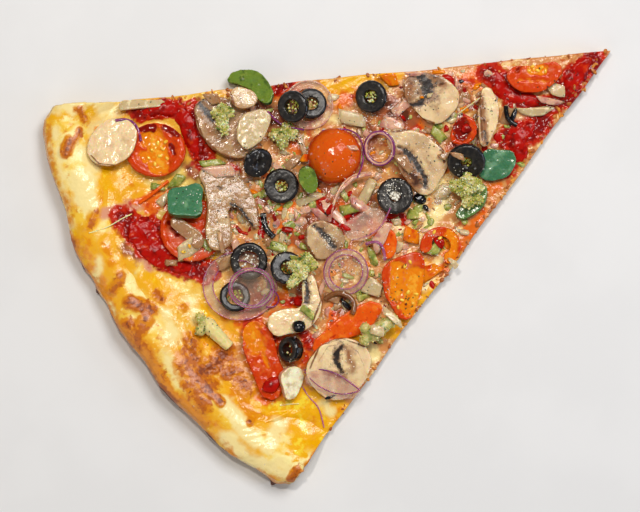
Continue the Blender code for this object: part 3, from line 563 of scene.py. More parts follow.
gold, inward = rim_gold(points)
blister = strokes(crust, BROWNED)
swell, fine, crumb = noise_at(points, 5), noise_at(points, 1.4), noise_at(points, 1.3, noise.cell)
lift = SWELL * swell + FINE * fine + BLISTER * ramp(blister, 0.2, 0.7)
lift[normals[:, 2] < -0.5] = 0
cut_side = (np.abs(normals[:, 2]) < 0.6) & (inward > 3 * MM)
flake = strokes(crust, FLAKES) * ramp(FLAKE_TOP - points[:, 2], 0, 0.5 * FLAKE_TOP)
flake *= ramp(-inward, -2.5 * MM, -1 * MM)
torn = -TORN * crumb * ramp(crumb, 0.3, 0.9) + SWELL * swell + TORN_FINE * fine
lift[cut_side] = torn[cut_side]
bulge = np.interp(angle, RIM_ANGLES, RIM_BULGE) * MM * ramp(-inward, -BULGE_FROM, 0)
outward = np.stack([points[:, 0] - tip.x, points[:, 1] - tip.y, 0 * reach], axis=1)
outward *= ((flake * (FLAKE_REACH + FLAKE_FINE * fine) + bulge) / reach.clip(MM))[:, None]
low_corner, high_corner = (np.array(corner) for corner in solid_box)
low_corner[0] -= PROUD
move_points(crust, np.clip(points + normals * lift[:, None] + outward, low_corner, high_corner))
down = on_grid(points)[:, 1]
# Browner along the lower side of the rim; the dip near its lower end keeps the edge pale there as painted
# highlight
tan_and_highlight = 0.3 * ramp(down, 290, 350) - 0.55 * ramp(down, 410, 440) * ramp(-down, -482, -470)
store(crust, "edge", np.clip(1 - inward / (2.4 * BAKED_EDGE), 0, 1) * (0.75 + 0.6 * swell + tan_and_highlight))
burnt_side = ramp(down, 225, 275) * (0.6 + 0.8 * swell)
store(crust, "char", 1.6 * flake + burnt_side * ramp(-inward, -1.3 * MM, -0.2 * MM))
store(crust, "under", ramp(-normals[:, 2], 0.0, 0.6) + ramp(1.6 * MM - points[:, 2], 0, 1.4 * MM))
store(crust, "crumb", cut_side.astype(float) * ramp(points[:, 2], 0.8 * MM, 1.5 * MM))
# Gold is lower and pale higher on the crest, as painted highlight
store(crust, "gold", gold)
store(crust, "pale", 1 - gold)
paint_zones(crust)

# Bread crust: matt, with a faint oily sheen, browned where the heat reached it
baked_dough = finish(
    "baked_dough",
    "#F4C63C",
    coats=[
        *RIM_COATS,
        coat("#DE8C0C", "", 2.2, 0.54, 0.74),
        coat("#F9E48A", "", 1.8, 0.56, 0.72),
        *ZONE_COATS,
        coat("#DC8A1A", "edge", 3, 0.3, 0.66),
        coat("#A85816", "edge", 2.4, 0.68, 0.98),
        coat("#5A2A10", "char", 3, 0.35, 0.7, ragged=0.3, detail=3, rough=0.6),
        coat("#EBCF92", "crumb", 1.5, 0.35, 0.65, ragged=0.2, rough=0.8),
        coat("#C79350", "crumb", 2.2, 1.15, 1.45, ragged=1.6, rough=0.8),
        coat("#8A5526", "crumb", 1.2, 1.4, 1.6, ragged=1.8, detail=2, rough=0.8),
        coat("#C98A3E", "under", 5, 0.35, 0.75, rough=0.75),
        coat("#5E3317", "under", 3, 1.05, 1.5, ragged=0.9, rough=0.8),
    ],
    bumps=[(1.8, 0.16), (0.6, 0.06)],
    roughness=0.36,
)
dress(crust, baked_dough, "baked_dough", "crust")
print("crust:", len(crust.data.polygons), "faces")

# %% [markdown]
# Melted mozzarella is a glossy, slightly translucent sheet. It pools pale and smooth where it is thick,
# runs to golden oil where it is thin, and takes the colour of the tomato towards the tip. It climbs a
# little way up whatever lies in it, swells in lumps where sauce broke through it, and thins out to
# nothing on the rim, so its outer edge is lowered into the dough.
# %% The melted cheese
CUTS_OF_CHEESE = 4
CHEESE_FAR = 170 * MM
MELT_REACH = 9 * MM
MELT_DEPTH = 2.9 * MM
CLIMB = 0.9 * MM
CLIMB_REACH = 1.3 * MM
# Relief of the cheese: waves and lumps everywhere, bubbles where it browned, pulp where there is sauce
WAVE = 0.45 * MM
LUMP = 0.30 * MM
BUBBLE = 0.4 * MM
FROTH = 0.30 * MM
SAUCE_RISE = 0.7 * MM
PULP = 0.9 * MM


def cheese_top(face):
    return face.normal.z > FLAT_TOP


cheese = merged_copy("cheese")
finer_faces(cheese, "cheese", CUTS_OF_CHEESE, cheese_top)
points, normals = points_of(cheese), normals_of(cheese)
paint_zones(cheese)
waves, lumps, pulp = (noise_at(points, grain) for grain in (8, 3, 1.5))
froth = noise_at(points, 1.2, noise.cell)
reach, angle = polar(points)
melt = 1 - ramp(np.interp(angle, rays, outer_edge(reach, angle, CHEESE_FAR)) - reach, 0, MELT_REACH)
gold, _ = rim_gold(points)
store(cheese, "melt", melt)
# On the rim the cheese takes the same gold and pale, with the painted highlight of the crest
store(cheese, "gold", gold * melt)
store(cheese, "pale", (1 - gold) * melt)
toppings = [solid for name, solid in solids.items() if name not in ("crust", "cheese")]
corners = [vertex.co for solid in toppings for vertex in solid.data.vertices]
bound = KDTree(len(corners))
for index, corner in enumerate(corners):
    bound.insert(corner, index)
bound.balance()
near = np.array([bound.find(Vector(p))[2] for p in points])
climb = CLIMB * np.exp(-((near / CLIMB_REACH) ** 2))
lift = WAVE * waves + LUMP * lumps + climb
lift += (BUBBLE + FROTH * froth) * ramp(strokes(cheese, BROWNED), 0.3, 0.7)
lift += (SAUCE_RISE + PULP * pulp) * ramp(strokes(cheese, SAUCY), 0.35, 0.6)
lift[normals[:, 2] < FLAT_TOP] *= 0.2
lift -= melt * MELT_DEPTH * (1 + 0.3 * waves)
points[:, 2] += lift
move_points(cheese, points)

# Melted mozzarella: fat makes it glossy, and light goes a millimetre or two into it
melted_cheese = finish(
    "melted_cheese",
    "#F0B83A",
    coats=[
        coat("#F8D874", "", 7, 0.45, 0.65, detail=2),
        coat("#D28E50", "warm", 5, 0.25, 0.8, detail=3),
        coat("#C45C2C", "warm", 5, 1.15, 1.55, ragged=1.6, detail=3, rough=0.12),
        coat("#F0CC88", "warm", 3.5, 1.15, 1.5, ragged=1.6, detail=2),
        coat("#C9793C", "warm", 2.0, 1.1, 1.5, ragged=1.4),
        coat("#F4C63C", "melt", 4, 0.25, 0.8, ragged=0.3, detail=2),
        *RIM_COATS,
        coat("#E59A14", "", 2.6, 0.57, 0.76),
        coat("#FBE7A0", "", 2.0, 0.58, 0.74),
        *ZONE_COATS,
    ],
    bumps=[(2.2, 0.30), (0.8, 0.10)],
    roughness=0.18,
    Specular_IOR_Level=0.4,
)
dress(cheese, melted_cheese, "melted_cheese", "cheese")
print("cheese:", len(cheese.data.polygons), "faces")

# %% [markdown]
# The sauce is crushed tomato: a wet red pulp with soft lumps. Two sizes of noise move the surface of
# each patch, and the gloss comes from the juice that stands on it.
# %% The sauce
# Crushed tomato: dark red and wet, a little light goes through its pulp
crushed_tomato = finish(
    "crushed_tomato",
    "#B01006",
    coats=[
        coat("#760602", "", 4.0, 0.48, 0.7, rough=0.2),
        coat("#C6340E", "", 3.0, 0.56, 0.76),
        coat("#D8702E", "", 1.8, 0.66, 0.78),
        coat("#D9954C", "bare", 3, 0.35, 0.6, rough=0.5),
        coat("#9A4A1C", "bare", 2, 0.85, 1.25, ragged=0.8, rough=0.5),
    ],
    bumps=[(3.0, 0.16)],
    roughness=0.2,
    Specular_IOR_Level=0.16,
)
# Where the dough shows past the sauce: the very tip and the cut edge beside it
BARE = [
    (10, 1.3, (604, 52), (608, 46), (616, 40)), (3.2, 1.1, (604, 60), (590, 84), (574, 108)),
    (2.2, 1.0, (558, 130), (540, 152), (520, 176)), (1.8, 0.9, (500, 70), (540, 56), (580, 50)),
]  # fmt: skip
for name in ("sauce_left", "sauce_upper", "sauce_tip", "sauce_band", "sauce_side"):
    patch = fine_copy(name, cell=0.45, smoothing=2)
    store(patch, "bare", strokes(patch, BARE))
    roughen(patch, 4.5, 1.2)
    roughen(patch, 1.8, 0.28)
    dress(patch, crushed_tomato, "crushed_tomato", name)
print("sauce: 5 patches")

# %% [markdown]
# A black olive is sliced across. Its skin is thin, blue-black and glossy, and the cut flesh inside is
# matt and dark grey. The distance from the olive's own axis tells skin from flesh, which also draws the
# thin dark line round each cut face.
# %% The olives
SKIN_DEPTH = 0.55 * MM
# Ripe olive: oiled skin over dense flesh
black_olive = finish(
    "black_olive",
    "#151314",
    coats=[
        coat("#2C2722", "", 1.8, 0.42, 0.7, rough=0.3),
        coat("#5A5145", "", 0.7, 0.64, 0.8, detail=2, rough=0.3),
        coat("#05070D", "skin", 2.0, 0.4, 0.6, ragged=0.1, detail=1, rough=0.08),
        coat("#100C0A", "hole", 1.0, 0.4, 0.6, ragged=0.3, detail=2, rough=0.3),
    ],
    bumps=[(0.8, 0.06), (0.25, 0.02)],
    roughness=0.34,
)
OLIVES = [name for name in solids if name.startswith("olive")]
olive_seats = {}
for name in OLIVES:
    olive = fine_copy(name, cell=0.36, smoothing=5)
    middle, directions = axes_of(name)
    points = points_of(olive)
    outward = (points - middle) @ directions.T
    radius = np.hypot(outward[:, 0], outward[:, 1])
    widest, hole = np.percentile(radius, 98), np.percentile(radius, 1)
    height = np.abs(outward[:, 2]).max()
    wall = ramp(radius, widest - SKIN_DEPTH, widest - 0.3 * SKIN_DEPTH)
    store(olive, "skin", wall * ramp(height - np.abs(outward[:, 2]), 0.05 * MM, 0.5 * MM) + 0.45 * wall)
    store(olive, "hole", ramp(-radius, -hole - 0.7 * MM, -hole - 0.2 * MM))
    roughen(olive, 1.6, 0.25)
    dress(olive, black_olive, "black_olive", name)
    olive_seats[name] = (middle, directions, hole, height)
print("olives:", {name: round(seat[2] / MM, 1) for name, seat in olive_seats.items()})

# %% [markdown]
# A mushroom is sliced from cap to stem. The slice is cream to tan, with the brown skin of the cap along
# its rounded edge and a dark band of gills. The gills are thin leaves, so their band is pressed in a
# little and crossed by fine furrows. Each slice has its own tone, because some are baked darker.
# %% The mushrooms
MUSHROOMS = {
    "mushroom_upper_left": dict(
        tone=0.72,
        gill=[(4.2, 1.2, (200, 104), (206, 111), (213, 119))],
        skin=[(1.5, 0.9, (196, 116), (203, 138), (220, 154), (242, 161))],
        stain=[
            (4, 0.8, (228, 132), (238, 150)),
            (6, 1.0, (212, 98), (226, 104)),
            (5, 0.8, (204, 120), (210, 134)),
        ],
    ),
    "mushroom_left": dict(
        tone=0.66,
        gill=[(2.8, 1.1, (232, 204), (241, 210), (248, 219), (252, 226)), (2.0, 1.0, (219, 188), (221, 189))],
        skin=[(1.5, 0.9, (227, 168), (246, 177), (257, 197), (259, 222))],
        stain=[(5, 0.7, (234, 206), (238, 222)), (5, 0.6, (212, 218), (216, 244))],
    ),
    "mushroom_stem_slice": dict(tone=0.85, stain=[(3, 0.7, (182, 226), (196, 242))]),
    "mushroom_top": dict(
        tone=0.3,
        gill=[(7.0, 1.3, (420, 76), (428, 84), (427, 94)), (3.6, 1.2, (427, 94), (420, 104), (410, 105))],
        skin=[(1.2, 0.8, (404, 84), (404, 100), (420, 118), (434, 123))],
        # The stain along its upper edge is partly the brown of the cap and partly painted shadow
        stain=[(7, 1.1, (410, 76), (408, 98)), (6, 1.1, (408, 76), (428, 73), (442, 84))],
    ),
    "mushroom_right": dict(
        tone=0.34,
        gill=[
            (1.4, 1.1, (398, 147), (406, 151)), (3.4, 1.4, (406, 152), (414, 160), (420, 170)),
            (2.4, 1.3, (420, 170), (425, 178), (425, 187)),
        ],
        skin=[(1.4, 0.9, (392, 132), (420, 128), (442, 148), (444, 162))],
        stain=[(8, 1.4, (400, 156), (408, 168), (416, 182)), (4, 0.6, (426, 160), (432, 172))],
    ),
    "mushroom_sliver": dict(
        tone=0.1,
        gill=[(2.6, 0.8, (484, 132), (487, 144))],
        skin=[(1.2, 0.7, (500, 96), (499, 122)), (1.4, 0.9, (480, 100), (482, 140))],
        stain=[(4, 1.0, (482, 98), (485, 142))],
    ),
    "mushroom_centre": dict(
        tone=0.5,
        gill=[(3.0, 1.1, (314, 226), (321, 231)), (3.6, 1.2, (321, 231), (329, 240), (334, 247))],
        skin=[(1.4, 0.9, (306, 226), (306, 244), (314, 256))],
        stain=[(4, 0.7, (318, 222), (330, 230))],
    ),
    "mushroom_lower": dict(
        tone=0.1,
        gill=[(2.4, 1.1, (303, 277), (307, 284)), (3.0, 1.1, (307, 284), (307, 302))],
        skin=[(1.3, 0.8, (316, 276), (321, 300), (312, 324))],
        stain=[(4, 0.6, (300, 318))],
    ),
    "mushroom_round": dict(
        tone=0.1,
        gill=[
            (2.6, 1.2, (342, 346), (337, 352)),
            (3.6, 1.2, (337, 352), (336, 362)),
            (2.6, 1.1, (338, 364), (342, 372)),
        ],
        skin=[
            (1.4, 0.7, (310, 368), (320, 345), (342, 338), (364, 346)),
            (1.0, 0.55, (318, 362), (328, 346), (346, 343), (358, 352), (364, 366)),
        ],
        stain=[
            (7, 0.75, (350, 350), (352, 368)),
            (4, 1.0, (348, 352), (350, 362)),
            (6, 0.8, (326, 374), (346, 378)),
        ],
    ),
    "mushroom_cap_slice": dict(
        tone=0.12,
        skin=[(1.0, 0.8, (92, 156), (100, 164), (118, 166))],
        stain=[(13, 0.42, (116, 142))],
    ),
    "mushroom_chunk": dict(tone=0.5, skin=[(1.6, 0.9, (232, 96), (234, 106))]),
}
GILL_DEPTH = 0.45 * MM
GILL_SPACING = 0.8 * MM
GILL_SLANT = 0.6
# A band of gills has a strong core and a faint halo: how wide and how strong against its mark
GILL_CORE = (0.75, 1.1)
GILL_HALO = (1.7, 0.55)
# Baked mushroom: damp, faintly fibrous flesh that light enters
mushroom_flesh = finish(
    "mushroom_flesh",
    "#F2DBAE",
    coats=[
        coat("#E3BF92", "", 5, 0.46, 0.72),
        coat("#A87E56", "tone", 6, 0.0, 0.95),
        coat("#D2AE86", "tone", 4, 1.15, 1.55, ragged=1.8),
        coat("#A8754E", "stain", 3, 0.28, 0.95, ragged=0.45, detail=3),
        coat("#583626", "stain", 2.4, 0.85, 1.35, ragged=0.8),
        coat("#A87443", "side", 3, 0.45, 1.0, ragged=0.3, detail=2),
        coat("#85542C", "skin", 3, 0.35, 0.7, ragged=0.25, detail=2),
        coat("#94704F", "gill", 2.5, 0.22, 0.66, ragged=0.6, rough=0.4),
        coat("#2A201C", "gill", 1.4, 0.5, 0.92, ragged=1.1, detail=5, rough=0.35),
    ],
    bumps=[(1.8, 0.16), (0.6, 0.05)],
    roughness=0.15,
    depth=1.2,
)


def side_of(piece, node_name):
    """1 where a flat piece shows its thin side, 0 on its two faces."""
    thin = axes_of(node_name)[1][2]
    return ramp(1 - np.abs(normals_of(piece) @ thin), 0.25, 0.7)


for name, marks in MUSHROOMS.items():
    slice_ = fine_copy(name, cell=0.42, smoothing=8)
    store(slice_, "side", side_of(slice_, name))
    points, normals = points_of(slice_), normals_of(slice_)
    bands = [
        (wide * radius, strong * strength, *places)
        for wide, strong in (GILL_CORE, GILL_HALO)
        for radius, strength, *places in marks.get("gill", [])
    ]
    furrow = 0.5 + 0.5 * np.sin(2 * math.pi * (points[:, 0] - GILL_SLANT * points[:, 1]) / GILL_SPACING)
    gill = strokes(slice_, bands) * (0.8 + 0.35 * furrow)
    facing_up = ramp(normals[:, 2], 0.2, 0.6)
    points[:, 2] -= facing_up * ramp(gill, 0.3, 0.7) * GILL_DEPTH * (0.4 + 0.6 * furrow)
    move_points(slice_, points)
    store(slice_, "gill", gill * facing_up)
    store(slice_, "skin", strokes(slice_, marks.get("skin", [])))
    store(slice_, "stain", strokes(slice_, marks.get("stain", [])))
    store(slice_, "tone", marks["tone"])
    roughen(slice_, 5.0, 0.5)
    roughen(slice_, 1.2, 0.12)
    dress(slice_, mushroom_flesh, "mushroom_flesh", name)
print("mushrooms:", len(MUSHROOMS))

# %% [markdown]
# Cherry tomatoes are sliced, halved or cut in wedges. The skin is orange-red and glossy, the wall under
# it is firm and paler, and the chambers hold yellow-orange jelly with seeds. The chambers are pressed in,
# and each seed is a small flattened bead that lies in the jelly.
# %% The tomatoes
TOMATOES = {
    "tomato_slice_left": dict(
        gel=[(9, 1.2, (152, 138), (157, 150), (160, 164)), (6, 0.9, (146, 156))],
        dark=[
            (4, 1.1, (142, 128), (153, 128)),
            (5, 0.9, (166, 126), (176, 134)),
            (3, 0.8, (171, 146), (174, 154)),
        ],
        pink=[(4, 0.7, (140, 166), (150, 172))],
    ),
    "tomato_slice_under": dict(
        gel=[(7, 0.6, (182, 250), (190, 256))],
        dark=[(5, 0.7, (170, 224), (178, 232))],
        pink=[(14, 1.2, (182, 236), (196, 250))],
    ),
    "tomato_half": dict(),
    "tomato_wedge_tip": dict(
        gel=[(5, 1.0, (532, 69), (542, 70)), (4, 0.5, (520, 80), (548, 82))],
        dark=[(3, 0.6, (516, 72), (524, 64))],
        pink=[(4, 0.7, (520, 72), (552, 70))],
    ),
    "tomato_slice_side": dict(
        gel=[(10, 1.2, (415, 278), (413, 306)), (7, 1.0, (398, 268), (396, 296))],
        dark=[(2.0, 0.6, (402, 268), (406, 264)), (1.6, 0.7, (406, 304))],
        pink=[(4, 1.2, (410, 256), (405, 276), (404, 296))],
    ),
    "tomato_ring": dict(
        gel=[(9, 0.8, (452, 234), (450, 256)), (6, 0.6, (434, 250))],
        pink=[(4, 0.9, (430, 232), (442, 240))],
    ),
    "tomato_slice_low": dict(
        gel=[(9, 0.9, (252, 330), (256, 346)), (4, 0.6, (262, 352), (268, 366))],
        dark=[(3, 0.5, (266, 382), (272, 392))],
        pink=[(4, 0.7, (248, 356))],
    ),
    "tomato_bit": dict(dark=[(7, 1.1, (458, 122), (462, 134))], pink=[(3, 0.7, (470, 122))]),
}
CHAMBER_DEPTH = 0.8 * MM
# (grain, depth) of the relief in millimetres
TOMATO_RELIEF = {"tomato_half": (6.0, 0.3), "tomato_slice_low": (3.0, 1.3)}
PLAIN_RELIEF = (2.2, 0.5)
TOMATO_SKIN = 0.9 * MM
# Ripe tomato: wet and glossy, light goes well into the flesh
ripe_tomato = finish(
    "ripe_tomato",
    "#D2450C",
    coats=[
        coat("#DE6426", "", 4, 0.5, 0.72, detail=3),
        coat("#D8765A", "pink", 4, 0.42, 1.0, ragged=0.6, detail=3),
        coat("#E88A10", "gel", 3, 0.32, 0.6, ragged=0.45, detail=3, rough=0.1),
        coat("#F0AC30", "gel", 1.8, 0.84, 1.2, ragged=1.0, rough=0.1),
        coat("#8A1004", "dark", 3, 0.36, 0.64, detail=3, rough=0.12),
        coat("#BC3204", "skin", 4, 0.4, 0.6, ragged=0.2, detail=2, rough=0.1),
        # Painted light: higher on the tomato half the colour turns lighter orange over the darker skin
        coat("#D85E0E", "dome", 9, 0.3, 0.8, detail=2, rough=0.14),
    ],
    bumps=[(2.5, 0.12)],
    roughness=0.16,
    depth=0.6,
    Specular_IOR_Level=0.2,
)
for name, marks in TOMATOES.items():
    cut = fine_copy(name, cell=0.42, smoothing=3)
    middle, directions = axes_of(name)
    points, normals = points_of(cut), normals_of(cut)
    gel = strokes(cut, marks.get("gel", []) + marks.get("dark", []))
    facing_up = ramp(normals[:, 2], 0.2, 0.6)
    points[:, 2] -= facing_up * ramp(gel, 0.35, 0.6) * CHAMBER_DEPTH
    move_points(cut, points)
    whole = name == "tomato_half"
    store(cut, "skin", 1 if whole else side_of(cut, name) * 0.8)
    # How high each point of the tomato half is, for the painted light on its top
    store(cut, "dome", ramp(points[:, 2] - middle[2], -2 * MM, 5 * MM) * whole)
    for colour in ("gel", "dark", "pink"):
        store(cut, colour, strokes(cut, marks.get(colour, [])) * facing_up)
    roughen(cut, *TOMATO_RELIEF.get(name, PLAIN_RELIEF))
    dress(cut, ripe_tomato, "ripe_tomato", name)
print("tomatoes:", len(TOMATOES))

# %% [markdown]
# Peppers have a waxy skin over thick, juicy flesh. The green ones run from blue-green to yellow-green, so
# each piece stores how yellow it is. The thin cut sides are darker, and tiny burnt specks lie on top.
# %% The peppers
GREEN_PEPPERS = {
    "green_pepper_left": 0.1,
    "green_pepper_side": 0.05,
    "green_pepper_crescent": 0.65,
    "green_pepper_edge": 0.9,
    "green_pepper_bit": 0.9,
}
# Green pepper: waxy skin, with painted sheen in its pale patches; the pale yellow-green spots are partly
# streaks of the skin and partly painted highlight
green_pepper = finish(
    "green_pepper",
    "#46805A",
    coats=[
        # Pale patches: painted sheen
        coat("#86B08C", "", 4, 0.46, 0.75, detail=2),
        coat("#748E30", "yellow", 4, 0.2, 0.95, detail=3),
        coat("#4A6420", "yellow", 3, 0.98, 1.4, ragged=1.3),
        coat("#B4BC5A", "yellow", 3.2, 1.05, 1.65, ragged=1.2),
        coat("#28552A", "side", 3, 0.35, 0.9, ragged=0.3, detail=2),
        coat("#1F2A18", "", 0.7, 0.72, 0.78),
    ],
    bumps=[(3.0, 0.25), (0.8, 0.04)],
    roughness=0.18,
    depth=0.8,
)
for name, yellow in GREEN_PEPPERS.items():
    square = fine_copy(name, cell=0.38, smoothing=1)
    store(square, "side", side_of(square, name))
    store(square, "yellow", yellow)
    roughen(square, 4.0, 0.5)
    dress(square, green_pepper, "green_pepper", name)

# Red pepper, baked soft: the skin is slack and very glossy
red_pepper = finish(
    "red_pepper",
    "#E6600C",
    coats=[
        coat("#EE8622", "", 4, 0.48, 0.68, detail=3),
        coat("#C42E08", "", 3, 0.62, 0.78, detail=2),
        coat("#E9A25C", "side", 2, 0.75, 1.2, ragged=0.8),
    ],
    bumps=[(2.4, 0.22), (0.7, 0.05)],
    roughness=0.18,
    depth=0.5,
    Specular_IOR_Level=0.22,
)
for name in ("red_pepper_strip", "red_pepper_short"):
    strip = fine_copy(name, cell=0.4, smoothing=4)
    store(strip, "side", side_of(strip, name))
    roughen(strip, 5.0, 0.5)
    dress(strip, red_pepper, "red_pepper", name)
print("peppers:", len(GREEN_PEPPERS) + 2)

# %% [markdown]
# Red onion is cut in rings. A baked layer is thin and almost clear, and its outer skin keeps the purple,
# so a ring reads as a purple line round a pale film. The films are thin lids inside the rings.
# %% The onions
ONIONS = {
    "onion_ring_top": 0.35,
    "onion_ring_wide": 0.55,
    "onion_ring_inner": 0.75,
    "onion_ring_right": 0.75,
    "onion_ring_violet": 1.0,
    "onion_petal": 0.8,
    "onion_leaf": 0.8,
    "onion_strand": 0.3,
}
ONION_SKIN = 0.7 * MM
# Pieces cut near the skin, which are tinted all through
ONION_TINT = {"onion_leaf": 0.55, "onion_petal": 0.25}
EDGE_LINE = 0.26 * MM
EDGE_STEPS = 25
EDGE_SECTOR = 0.2
STRAND_TONE = 0.25


def rod(name, material, slot, thick, points, purple, closed=False):
    """A round rod along a smooth curve through 3-D points."""
    curve = bpy.data.curves.new(name, "CURVE")
    curve.dimensions = "3D"
    curve.bevel_depth = thick
    curve.bevel_resolution = 3
    curve.resolution_u = 8
    curve.use_fill_caps = not closed
    spline = curve.splines.new("NURBS")
    spline.points.add(len(points) - 1)
    for place, point in zip(spline.points, points):
        place.co = (*point, 1)
    spline.use_cyclic_u = closed
    spline.use_endpoint_u = not closed
    spline.order_u = 3
    piece = bpy.data.objects.new(name, curve)
    bpy.context.scene.collection.objects.link(piece)
    select_only(piece)
    bpy.ops.object.convert(target="MESH")
    piece = bpy.context.object
    dress(piece, material, slot)
    store(piece, "skin", purple)
    store(piece, "tone", STRAND_TONE)


# Red onion, baked: a wet film, purple where the skin is
red_onion = finish(
    "red_onion",
    "#DDB094",
    coats=[
        coat("#BE7A72", "", 4, 0.44, 0.7, detail=3),
        coat("#EBCBAA", "", 3, 0.58, 0.74, detail=2),
        coat("#A85C8A", "skin", 3, 0.25, 0.6, ragged=0.4, detail=3, rough=0.12),
        coat("#7A2C6C", "skin", 3, 0.5, 0.95, detail=3, rough=0.12),
    ],
    bumps=[(1.2, 0.06)],
    roughness=0.16,
    depth=1.2,
)
SHEER = [name for name in ONIONS if name not in ("onion_ring_violet", "onion_strand")]
SHEER_CLEAR = 0.17
# The same onion where a ring is one thin wet layer, which lets what lies under it show
sheer_onion = finish(
    "sheer_onion",
    "#F2DAC2",
    coats=[
        coat("#DDA6A2", "", 4, 0.46, 0.72, detail=3),
        coat("#B0607C", "skin", 3, 0.3, 0.8, detail=3),
    ],
    bumps=[(1.2, 0.06)],
    roughness=0.1,
    Alpha=SHEER_CLEAR,
)
for name, purple in ONIONS.items():
    ring = fine_copy(name, cell=0.33, smoothing=3)
    middle, directions = axes_of(name)
    outward = (points_of(ring) - middle) @ directions.T
    radius = np.hypot(outward[:, 0], outward[:, 1])
    if "ring" in name:
        turn = np.arctan2(outward[:, 1], outward[:, 0])
        bins = np.linspace(-math.pi, math.pi, EDGE_STEPS)
        sectors = [radius[np.abs(turn - b) < EDGE_SECTOR] for b in bins]
        edge, inner = (np.array([take(sector) for sector in sectors]) for take in (np.max, np.min))
        wall = ramp(radius - np.interp(turn, bins, edge), -1.6 * ONION_SKIN, -0.3 * ONION_SKIN)
        level = 0.5 * np.abs(outward[:, 2]).max()
        for side, rims in (("outer", edge - EDGE_LINE), ("inner", inner + EDGE_LINE)):
            local = np.stack([rims * np.cos(bins), rims * np.sin(bins), np.full(EDGE_STEPS, level)], axis=1)
            line = (middle + local @ directions)[:-1]
            rod(f"{name}_{side}_line", red_onion, "red_onion", EDGE_LINE, line, 0.85 * purple, closed=True)
    else:
        wall = side_of(ring, name)
    store(ring, "skin", wall * purple + ONION_TINT.get(name, 0))
    roughen(ring, 2.5, 0.3)
    dress(ring, sheer_onion if name in SHEER else red_onion, "red_onion", name)
print("onions:", len(ONIONS))

# %% [markdown]
# Broccoli breaks into florets with a pale stalk and heads of tiny buds. Each bud is a small rounded bead,
# modelled once and copied by the hundred over the heads, so the beads have few faces.
# %% The broccoli and the garlic
BUD_SIZE = (0.55, 1.15)
BUDS_PER_SQUARE_MM = 0.75
BUD_RISE = 0.2
BUD_STRETCH = 1.3
# Broccoli: matt stalk, and dry buds in pale and dark green patches; the dark green is partly the buds' own
# colour and partly painted shade between them
broccoli_stalk = finish(
    "broccoli_stalk",
    "#CFC07A",
    coats=[
        coat("#9FA552", "", 2, 0.45, 0.65),
        coat("#E8DCA2", "", 1.5, 0.6, 0.72),
        coat("#EADC98", "pale", 2, 0.4, 0.7, ragged=0.3),
        coat("#3A4A1E", "", 0.7, 0.7, 0.78),
    ],
    bumps=[(0.7, 0.10)],
    roughness=0.3,
    depth=0.8,
)
broccoli_buds = finish(
    "broccoli_buds",
    "#AFAE48",
    coats=[
        coat("#EDE6AC", "", 3.0, 0.46, 0.58),
        coat("#4E6A18", "", 3.4, 0.54, 0.64),
        # Darkest coat: painted shade between the buds
        coat("#2F421A", "", 1.2, 0.62, 0.72),
    ],
    roughness=0.3,
    depth=0.5,
)


def taken(shape):
    """The points and the faces of an object, which is then removed."""
    points = points_of(shape)
    faces = [tuple(face.vertices) for face in shape.data.polygons]
    bpy.data.objects.remove(shape)
    return points, faces


def bead(faces_level=1):
    """A small round bead round the origin, one metre across, as points and faces."""
    bpy.ops.mesh.primitive_ico_sphere_add(subdivisions=faces_level, radius=0.5)
    return taken(bpy.context.object)


def pulled(points, chance, amount):
    """A shape one metre across whose eight outer corners are each pulled another way."""
    share = np.clip(points + 0.5, 0, 1)
    bent = points.copy()
    for corner in np.ndindex(2, 2, 2):
        weight = np.prod(np.where(np.array(corner), share, 1 - share), axis=1)
        bent += weight[:, None] * chance.uniform(-amount, amount, 3)
    return bent


def scatter(name, shape, places, material, slot, jitter=0.0, seed=1, pull=0.0):
    """One piece made of many copies of a shape, each put in its place by a matrix."""
    chance = np.random.default_rng(seed)
    points, faces = shape
    all_points, all_faces = [], []
    for matrix in places:
        bent = pulled(points, chance, pull) if pull else points
        bent = bent * (1 + jitter * chance.uniform(-1, 1, (len(points), 1)))
        start = len(all_points) * len(points)
        turn = np.array(matrix.to_3x3())
        all_points.append(bent @ turn.T + np.array(matrix.translation))
        all_faces += [tuple(start + i for i in face) for face in faces]
    mesh = bpy.data.meshes.new(name)
    mesh.from_pydata(np.concatenate(all_points).tolist(), [], all_faces)
    piece = bpy.data.objects.new(name, mesh)
    bpy.context.scene.collection.objects.link(piece)
    dress(piece, material, slot)
    return piece


LEAST_LEAN = -0.2


def spot_on(piece, chance):
    """A random place on a piece that doesn't look down, and the surface's own direction there."""
    while True:
        face = piece.data.polygons[chance.randrange(len(piece.data.polygons))]
        if face.normal.z > LEAST_LEAN:
            return face.center.copy(), face.normal.copy()


FLORETS = [name for name in solids if name.startswith("broccoli")]
# Two florets are mostly stalk and have few buds; that of broccoli_5 is bare from HEADS_END on the grid
STALKY = ("broccoli_5", "broccoli_6")
STALKY_SHARE = 0.12
STALK_PALE = (200, 212)
HEADS_END = 206
chance = random.Random(5)
buds = []
for name in FLORETS:
    floret = fine_copy(name, cell=0.4, smoothing=3)
    across = on_grid(points_of(floret))[:, 0]
    store(floret, "pale", ramp(across, *STALK_PALE) if name == "broccoli_5" else 0)
    roughen(floret, 1.5, 0.5)
    dress(floret, broccoli_stalk, "broccoli", name)
    area = sum(face.area for face in floret.data.polygons) / MM**2
    for _ in range(int(area * BUDS_PER_SQUARE_MM * (STALKY_SHARE if name in STALKY else 1.0))):
        place, up = spot_on(floret, chance)
        if name == "broccoli_5" and on_grid(np.array([place]))[0][0] > HEADS_END:
            continue
        size = chance.uniform(*BUD_SIZE) * MM
        place.z = min(place.z, solid_box[1][2] - size)
        turn = up.to_track_quat("Z", "Y").to_matrix().to_4x4()
        stretch = Matrix.Diagonal((size, size, size * BUD_STRETCH, 1))
        buds.append(Matrix.Translation(place + up * size * BUD_RISE) @ turn @ stretch)
